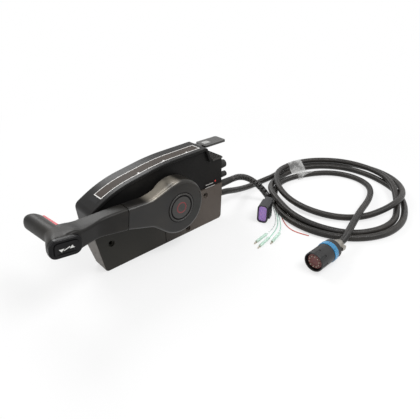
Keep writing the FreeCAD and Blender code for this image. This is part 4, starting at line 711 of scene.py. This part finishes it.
TAIL_ROUTE = [
    (254.5, -70.5, -77), (253, -80, -78.5), (248, -89, -76.5), (240, -95, -72), (230, -99, -67.5),
    (214, -103, -65.5),
]
SOCKET_GROWN, SOCKET_TURN = 1.26, math.radians(20.0)
socket_low, socket_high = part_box("branch_socket")
socket_middle = (Vector(socket_low) + Vector(socket_high)) / 2
socket_middle.z = socket_low.z


def turned_part(node, name, material):
    """A piece of the sealed socket at its full size, with its mouth turned a little to the front."""
    piece = own_copy(node, name)
    turn = Matrix.Rotation(SOCKET_TURN, 3, "Z")
    for vertex in piece.data.vertices:
        vertex.co = socket_middle + turn @ ((vertex.co - socket_middle) * SOCKET_GROWN)
    settle(piece, "housing", material)
    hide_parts(node)
    return piece


socket_shell = turned_part("branch_socket", "sealed_socket",
                           skin("socket shell", (0.013, 0.013, 0.0145), (0.028, 0.027, 0.028), 0.33, cloud=40,
                                grain=1100, depth=0.2, specular_ior_level=0.4))
socket_seal = turned_part("branch_seal", "mouth_seal",
                          skin("purple seal", (0.42, 0.24, 0.62), (0.34, 0.185, 0.52), 0.42, cloud=80, grain=900,
                               depth=0.3, subsurface_weight=0.1))
TAIL_LENGTH, TAIL_DIAMETER = 0.059, 0.007
tail = cord_curve("socket_tail", TAIL_ROUTE, TAIL_DIAMETER,
                  sleeve_material("tail sleeve", (0.03, 0.029, 0.028), (0.06, 0.056, 0.052), 0.4, TAIL_LENGTH,
                                  0.0022, 0.5), smooth=12)
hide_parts("branch_tail")

# Loose wires
# Four thin insulated wires for gauges and the horn, red, white and two of pale green, three of them ending
# in plated bullet terminals under clear green vinyl sleeves.

WIRE_ROUTES = {
    "wire_white": [(252.5, -71.8, -79.6), (251.2, -80, -84), (243, -90, -85), (229, -106, -85),
                   (207, -129, -85), (182, -146, -85), (150, -154, -85), (118, -158, -85)],
    "wire_mint": [(254.2, -71.5, -78), (253.4, -82, -84.6), (245.5, -92.5, -85), (231, -108.5, -85),
                  (209, -132, -85), (183, -152, -85), (146, -165, -85), (112, -171, -85)],
    "wire_pale": [(255.8, -72.3, -80), (255.4, -84, -85), (248, -95, -85), (233.5, -110, -85),
                  (211, -135, -85), (189, -156, -85), (162, -171, -85), (139, -177, -85)],
    "wire_red": [(257.4, -72.2, -78.8), (257.6, -86, -85), (249, -99, -85), (235, -115.5, -85),
                 (214, -139, -85), (197, -164, -85), (193, -189, -85), (202, -212, -85)],
}
WIRE_COLOURS = {"wire_white": (0.74, 0.8, 0.77), "wire_mint": (0.44, 0.74, 0.6), "wire_pale": (0.53, 0.78, 0.67),
                "wire_red": (0.55, 0.09, 0.06)}
WIRE_DIAMETER, FADED = 0.002, 0.8
terminal_plating = skin("tinned terminals", (0.55, 0.5, 0.42), (0.4, 0.35, 0.28), 0.32, cloud=120, grain=800,
                        depth=0.1, metallic=1.0)
dress(terminal_plating, "wire_terminals")
SLEEVE_LENGTH, SLEEVE_RADIUS, SLEEVE_PAST, SLEEVE_EDGE = 0.034, 0.0029, 0.007, 0.0008
FLOOR = -0.086
clear_vinyl = skin("clear green vinyl", (0.60, 0.84, 0.70), (0.78, 0.93, 0.85), 0.22, cloud=90, grain=300, depth=0.4,
                   reach=0.0004, alpha=0.62)


def terminal_sleeve(wire, route):
    """A clear sleeve slipped over a wire's terminal, lying on the floor along the wire's last stretch."""
    tip, before = Vector(route[-1]) / 1000, Vector(route[-2]) / 1000
    along = (before - tip).normalized()
    middle = tip + along * (SLEEVE_LENGTH / 2 - SLEEVE_PAST)
    middle.z = FLOOR + SLEEVE_RADIUS
    clear_choice()
    bpy.ops.mesh.primitive_cylinder_add(vertices=28, radius=SLEEVE_RADIUS, depth=SLEEVE_LENGTH, location=middle,
                                        rotation=(0, math.pi / 2, math.atan2(along.y, along.x)))
    piece = bpy.context.object
    piece.name = wire + "_sleeve"
    soften(piece, SLEEVE_EDGE)
    return settle(piece, "housing", clear_vinyl)


for wire, route in WIRE_ROUTES.items():
    colour = WIRE_COLOURS[wire]
    vinyl = skin(wire.replace("_", " ") + " vinyl", colour, tuple(c * FADED for c in colour), 0.35, cloud=150,
                 grain=900, depth=0.1)
    strand = cord_curve(wire + "_strand", route, WIRE_DIAMETER, vinyl,
                        smooth=8, sides=3)
    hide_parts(wire)
    ends = [] if wire == "wire_red" else ["wire_terminals", terminal_sleeve(wire, route)]

# Tape tie
# A length of clear adhesive tape wrapped round the turns at the back, creased where it spans from one
# strand to the next.

TIE_ANGLE = math.radians(73.5)
COIL_MIDDLE = Vector((0.388, -0.150, 0))
TIE_INNER, TIE_OUTER, TIE_WIDTH = 0.098, 0.176, 0.048
TAPE_THICK, TAPE_PULLS, TAPE_CLEAR, TAPE_LOW = 0.0003, 40, 0.0005, 0.0006
TIE_SPREAD = 0.6
CELLS_OUT, CELLS_WIDE = 64, 26
out_way = Vector((math.cos(TIE_ANGLE), math.sin(TIE_ANGLE), 0))


def tape_over(strands):
    """A sheet dropped on the strands from above, and pulled smooth."""
    clear_choice()
    bpy.ops.mesh.primitive_grid_add(x_subdivisions=CELLS_OUT, y_subdivisions=CELLS_WIDE, size=1,
                                    location=COIL_MIDDLE + out_way * (TIE_INNER + TIE_OUTER) / 2)
    sheet = bpy.context.object
    sheet.name = "tape_tie"
    sheet.scale = (TIE_OUTER - TIE_INNER, TIE_WIDTH, 1)
    sheet.rotation_euler = (0, 0, TIE_ANGLE)
    bpy.ops.object.transform_apply(location=True, rotation=True, scale=True)
    mesh = sheet.data
    depsgraph = bpy.context.evaluated_depsgraph_get()
    line = strands.data.copy()
    line.bevel_depth = 0
    probe = bpy.data.objects.new("line probe", line)
    bpy.context.scene.collection.objects.link(probe)
    depsgraph.update()
    path = [v.co.copy() for v in bpy.data.meshes.new_from_object(probe.evaluated_get(depsgraph)).vertices]
    bpy.data.objects.remove(probe)
    radius = LEAD_DIAMETER / 2 + TAPE_CLEAR
    near = [p for p in path if abs((p - COIL_MIDDLE).xy.angle_signed(out_way.xy, 0)) < TIE_SPREAD]
    heights = []
    for vertex in mesh.vertices:
        top = FLOOR + TAPE_LOW
        for p in near:
            gap = (vertex.co.xy - p.xy).length
            if gap < radius:
                top = max(top, p.z + math.sqrt(radius * radius - gap * gap))
        heights.append(top)
    columns = CELLS_OUT + 1
    for _ in range(TAPE_PULLS):
        pulled = heights[:]
        for row in range(CELLS_WIDE + 1):
            for i in range(row * columns + 1, (row + 1) * columns - 1):
                pulled[i] = max(heights[i], (heights[i - 1] + heights[i + 1]) / 2)
        heights = pulled
    for vertex, height in zip(mesh.vertices, heights):
        vertex.co.z = height
    return sheet


def tape_material():
    """Clear film that shows by its creases, where it is milky."""
    material = skin("clear tape", (0.55, 0.55, 0.54), (0.8, 0.8, 0.79), 0.16, cloud=45, grain=60, depth=0.4,
                    reach=0.0008)
    tree = material.node_tree
    veil = tree.nodes.new("ShaderNodeMapRange")
    for key, value in (("From Min", 0.35), ("From Max", 0.65), ("To Min", 0.14), ("To Max", 0.62)):
        veil.inputs[key].default_value = value
    tree.links.new(patches(tree, coordinates(tree)[0], 42), veil.inputs["Value"])
    tree.links.new(veil.outputs["Result"], tree.nodes["Principled BSDF"].inputs["Alpha"])
    return material


tie = tape_over(lead)
clear_choice()
tie.select_set(True)
bpy.context.view_layer.objects.active = tie
wall = tie.modifiers.new("tape thickness", "SOLIDIFY")
wall.thickness = TAPE_THICK
wall.offset = 1
bpy.ops.object.modifier_apply(modifier=wall.name)
bpy.ops.object.shade_smooth()
settle(tie, "housing", tape_material())
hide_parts("coil_tie")

# Studio
# A plain white floor, a soft light above and to the right, a weak one from the left, one behind that picks out
# the lever's neck, and the camera where the photograph was taken from.

clear_choice()
FLOOR_DROP = 0.0002
bpy.ops.mesh.primitive_plane_add(size=12, location=(0, 0, FLOOR - FLOOR_DROP))
ground = bpy.context.object
ground.name = "studio_floor"
paper = bpy.data.materials.new("white floor")
paper.use_nodes = True
paper_tree = paper.node_tree
paper_shader = paper_tree.nodes["Principled BSDF"]
paper_shader.inputs["Base Color"].default_value = (0.86, 0.86, 0.86, 1)
paper_shader.inputs["Roughness"].default_value = 0.9
paper_shader.inputs["Specular IOR Level"].default_value = 0.1
glow = paper_tree.nodes.new("ShaderNodeEmission")
glow.inputs["Strength"].default_value = 1.0


def unlit_rays(tree):
    """1 for the rays that show the background itself: seen straight on, in gloss or through glass."""
    rays = tree.nodes.new("ShaderNodeLightPath")
    found = rays.outputs["Is Camera Ray"]
    for kind in ("Is Glossy Ray", "Is Transmission Ray"):
        found = maths(tree, "MAXIMUM", found, rays.outputs[kind])
    return found


spot = paper_tree.nodes.new("ShaderNodeTexCoord")
reach = paper_tree.nodes.new("ShaderNodeVectorMath")
reach.operation = "LENGTH"
paper_tree.links.new(spot.outputs["Object"], reach.inputs[0])
fade = paper_tree.nodes.new("ShaderNodeMapRange")
for key, value in (("From Min", 0.3), ("From Max", 1.0), ("To Min", 0.68), ("To Max", 1.0)):
    fade.inputs[key].default_value = value
paper_tree.links.new(reach.outputs["Value"], fade.inputs["Value"])
blend = paper_tree.nodes.new("ShaderNodeMixShader")
paper_tree.links.new(maths(paper_tree, "MULTIPLY", unlit_rays(paper_tree), fade.outputs["Result"]),
                     blend.inputs["Fac"])
paper_tree.links.new(paper_shader.outputs["BSDF"], blend.inputs[1])
paper_tree.links.new(glow.outputs["Emission"], blend.inputs[2])
paper_tree.links.new(blend.outputs["Shader"], paper_tree.nodes["Material Output"].inputs["Surface"])
ground.data.materials.append(paper)

world = bpy.context.scene.world or bpy.data.worlds.new("studio")
bpy.context.scene.world = world
world.use_nodes = True
sky = world.node_tree
sky.nodes["Background"].inputs["Color"].default_value = (1, 1, 1, 1)
level = sky.nodes.new("ShaderNodeMapRange")
level.inputs["To Min"].default_value = 0.42
level.inputs["To Max"].default_value = 1.0
sky.links.new(unlit_rays(sky), level.inputs["Value"])
sky.links.new(level.outputs["Result"], sky.nodes["Background"].inputs["Strength"])


def lamp(name, place, aim, size, power):
    """A square lamp aimed at a point."""
    light = bpy.data.lights.new(name, "AREA")
    light.size = size
    light.energy = power
    piece = bpy.data.objects.new(name, light)
    piece.location = place
    piece.rotation_euler = (Vector(aim) - Vector(place)).to_track_quat("-Z", "Y").to_euler()
    bpy.context.scene.collection.objects.link(piece)


lamp("soft key", (0.40, -0.78, 1.25), (0.1, -0.1, 0), 0.65, 13)
lamp("side fill", (-1.0, -0.5, 0.8), (0.0, -0.1, 0), 1.0, 4)
lamp("back light", (0.27, 1.42, 1.35), (0.0, 0, 0), 0.8, 18)

bpy.context.scene.view_settings.view_transform = "Standard"
camera = bpy.data.cameras.new("photo camera")
camera.sensor_width = 36
camera.lens = 32.96
view = bpy.data.objects.new("photo camera", camera)
view.location = (-0.35365, -0.53256, 0.32223)
view.rotation_euler = (math.radians(90 - 29.70), math.radians(-0.002), math.radians(-42.90))
bpy.context.scene.collection.objects.link(view)
bpy.context.scene.camera = view
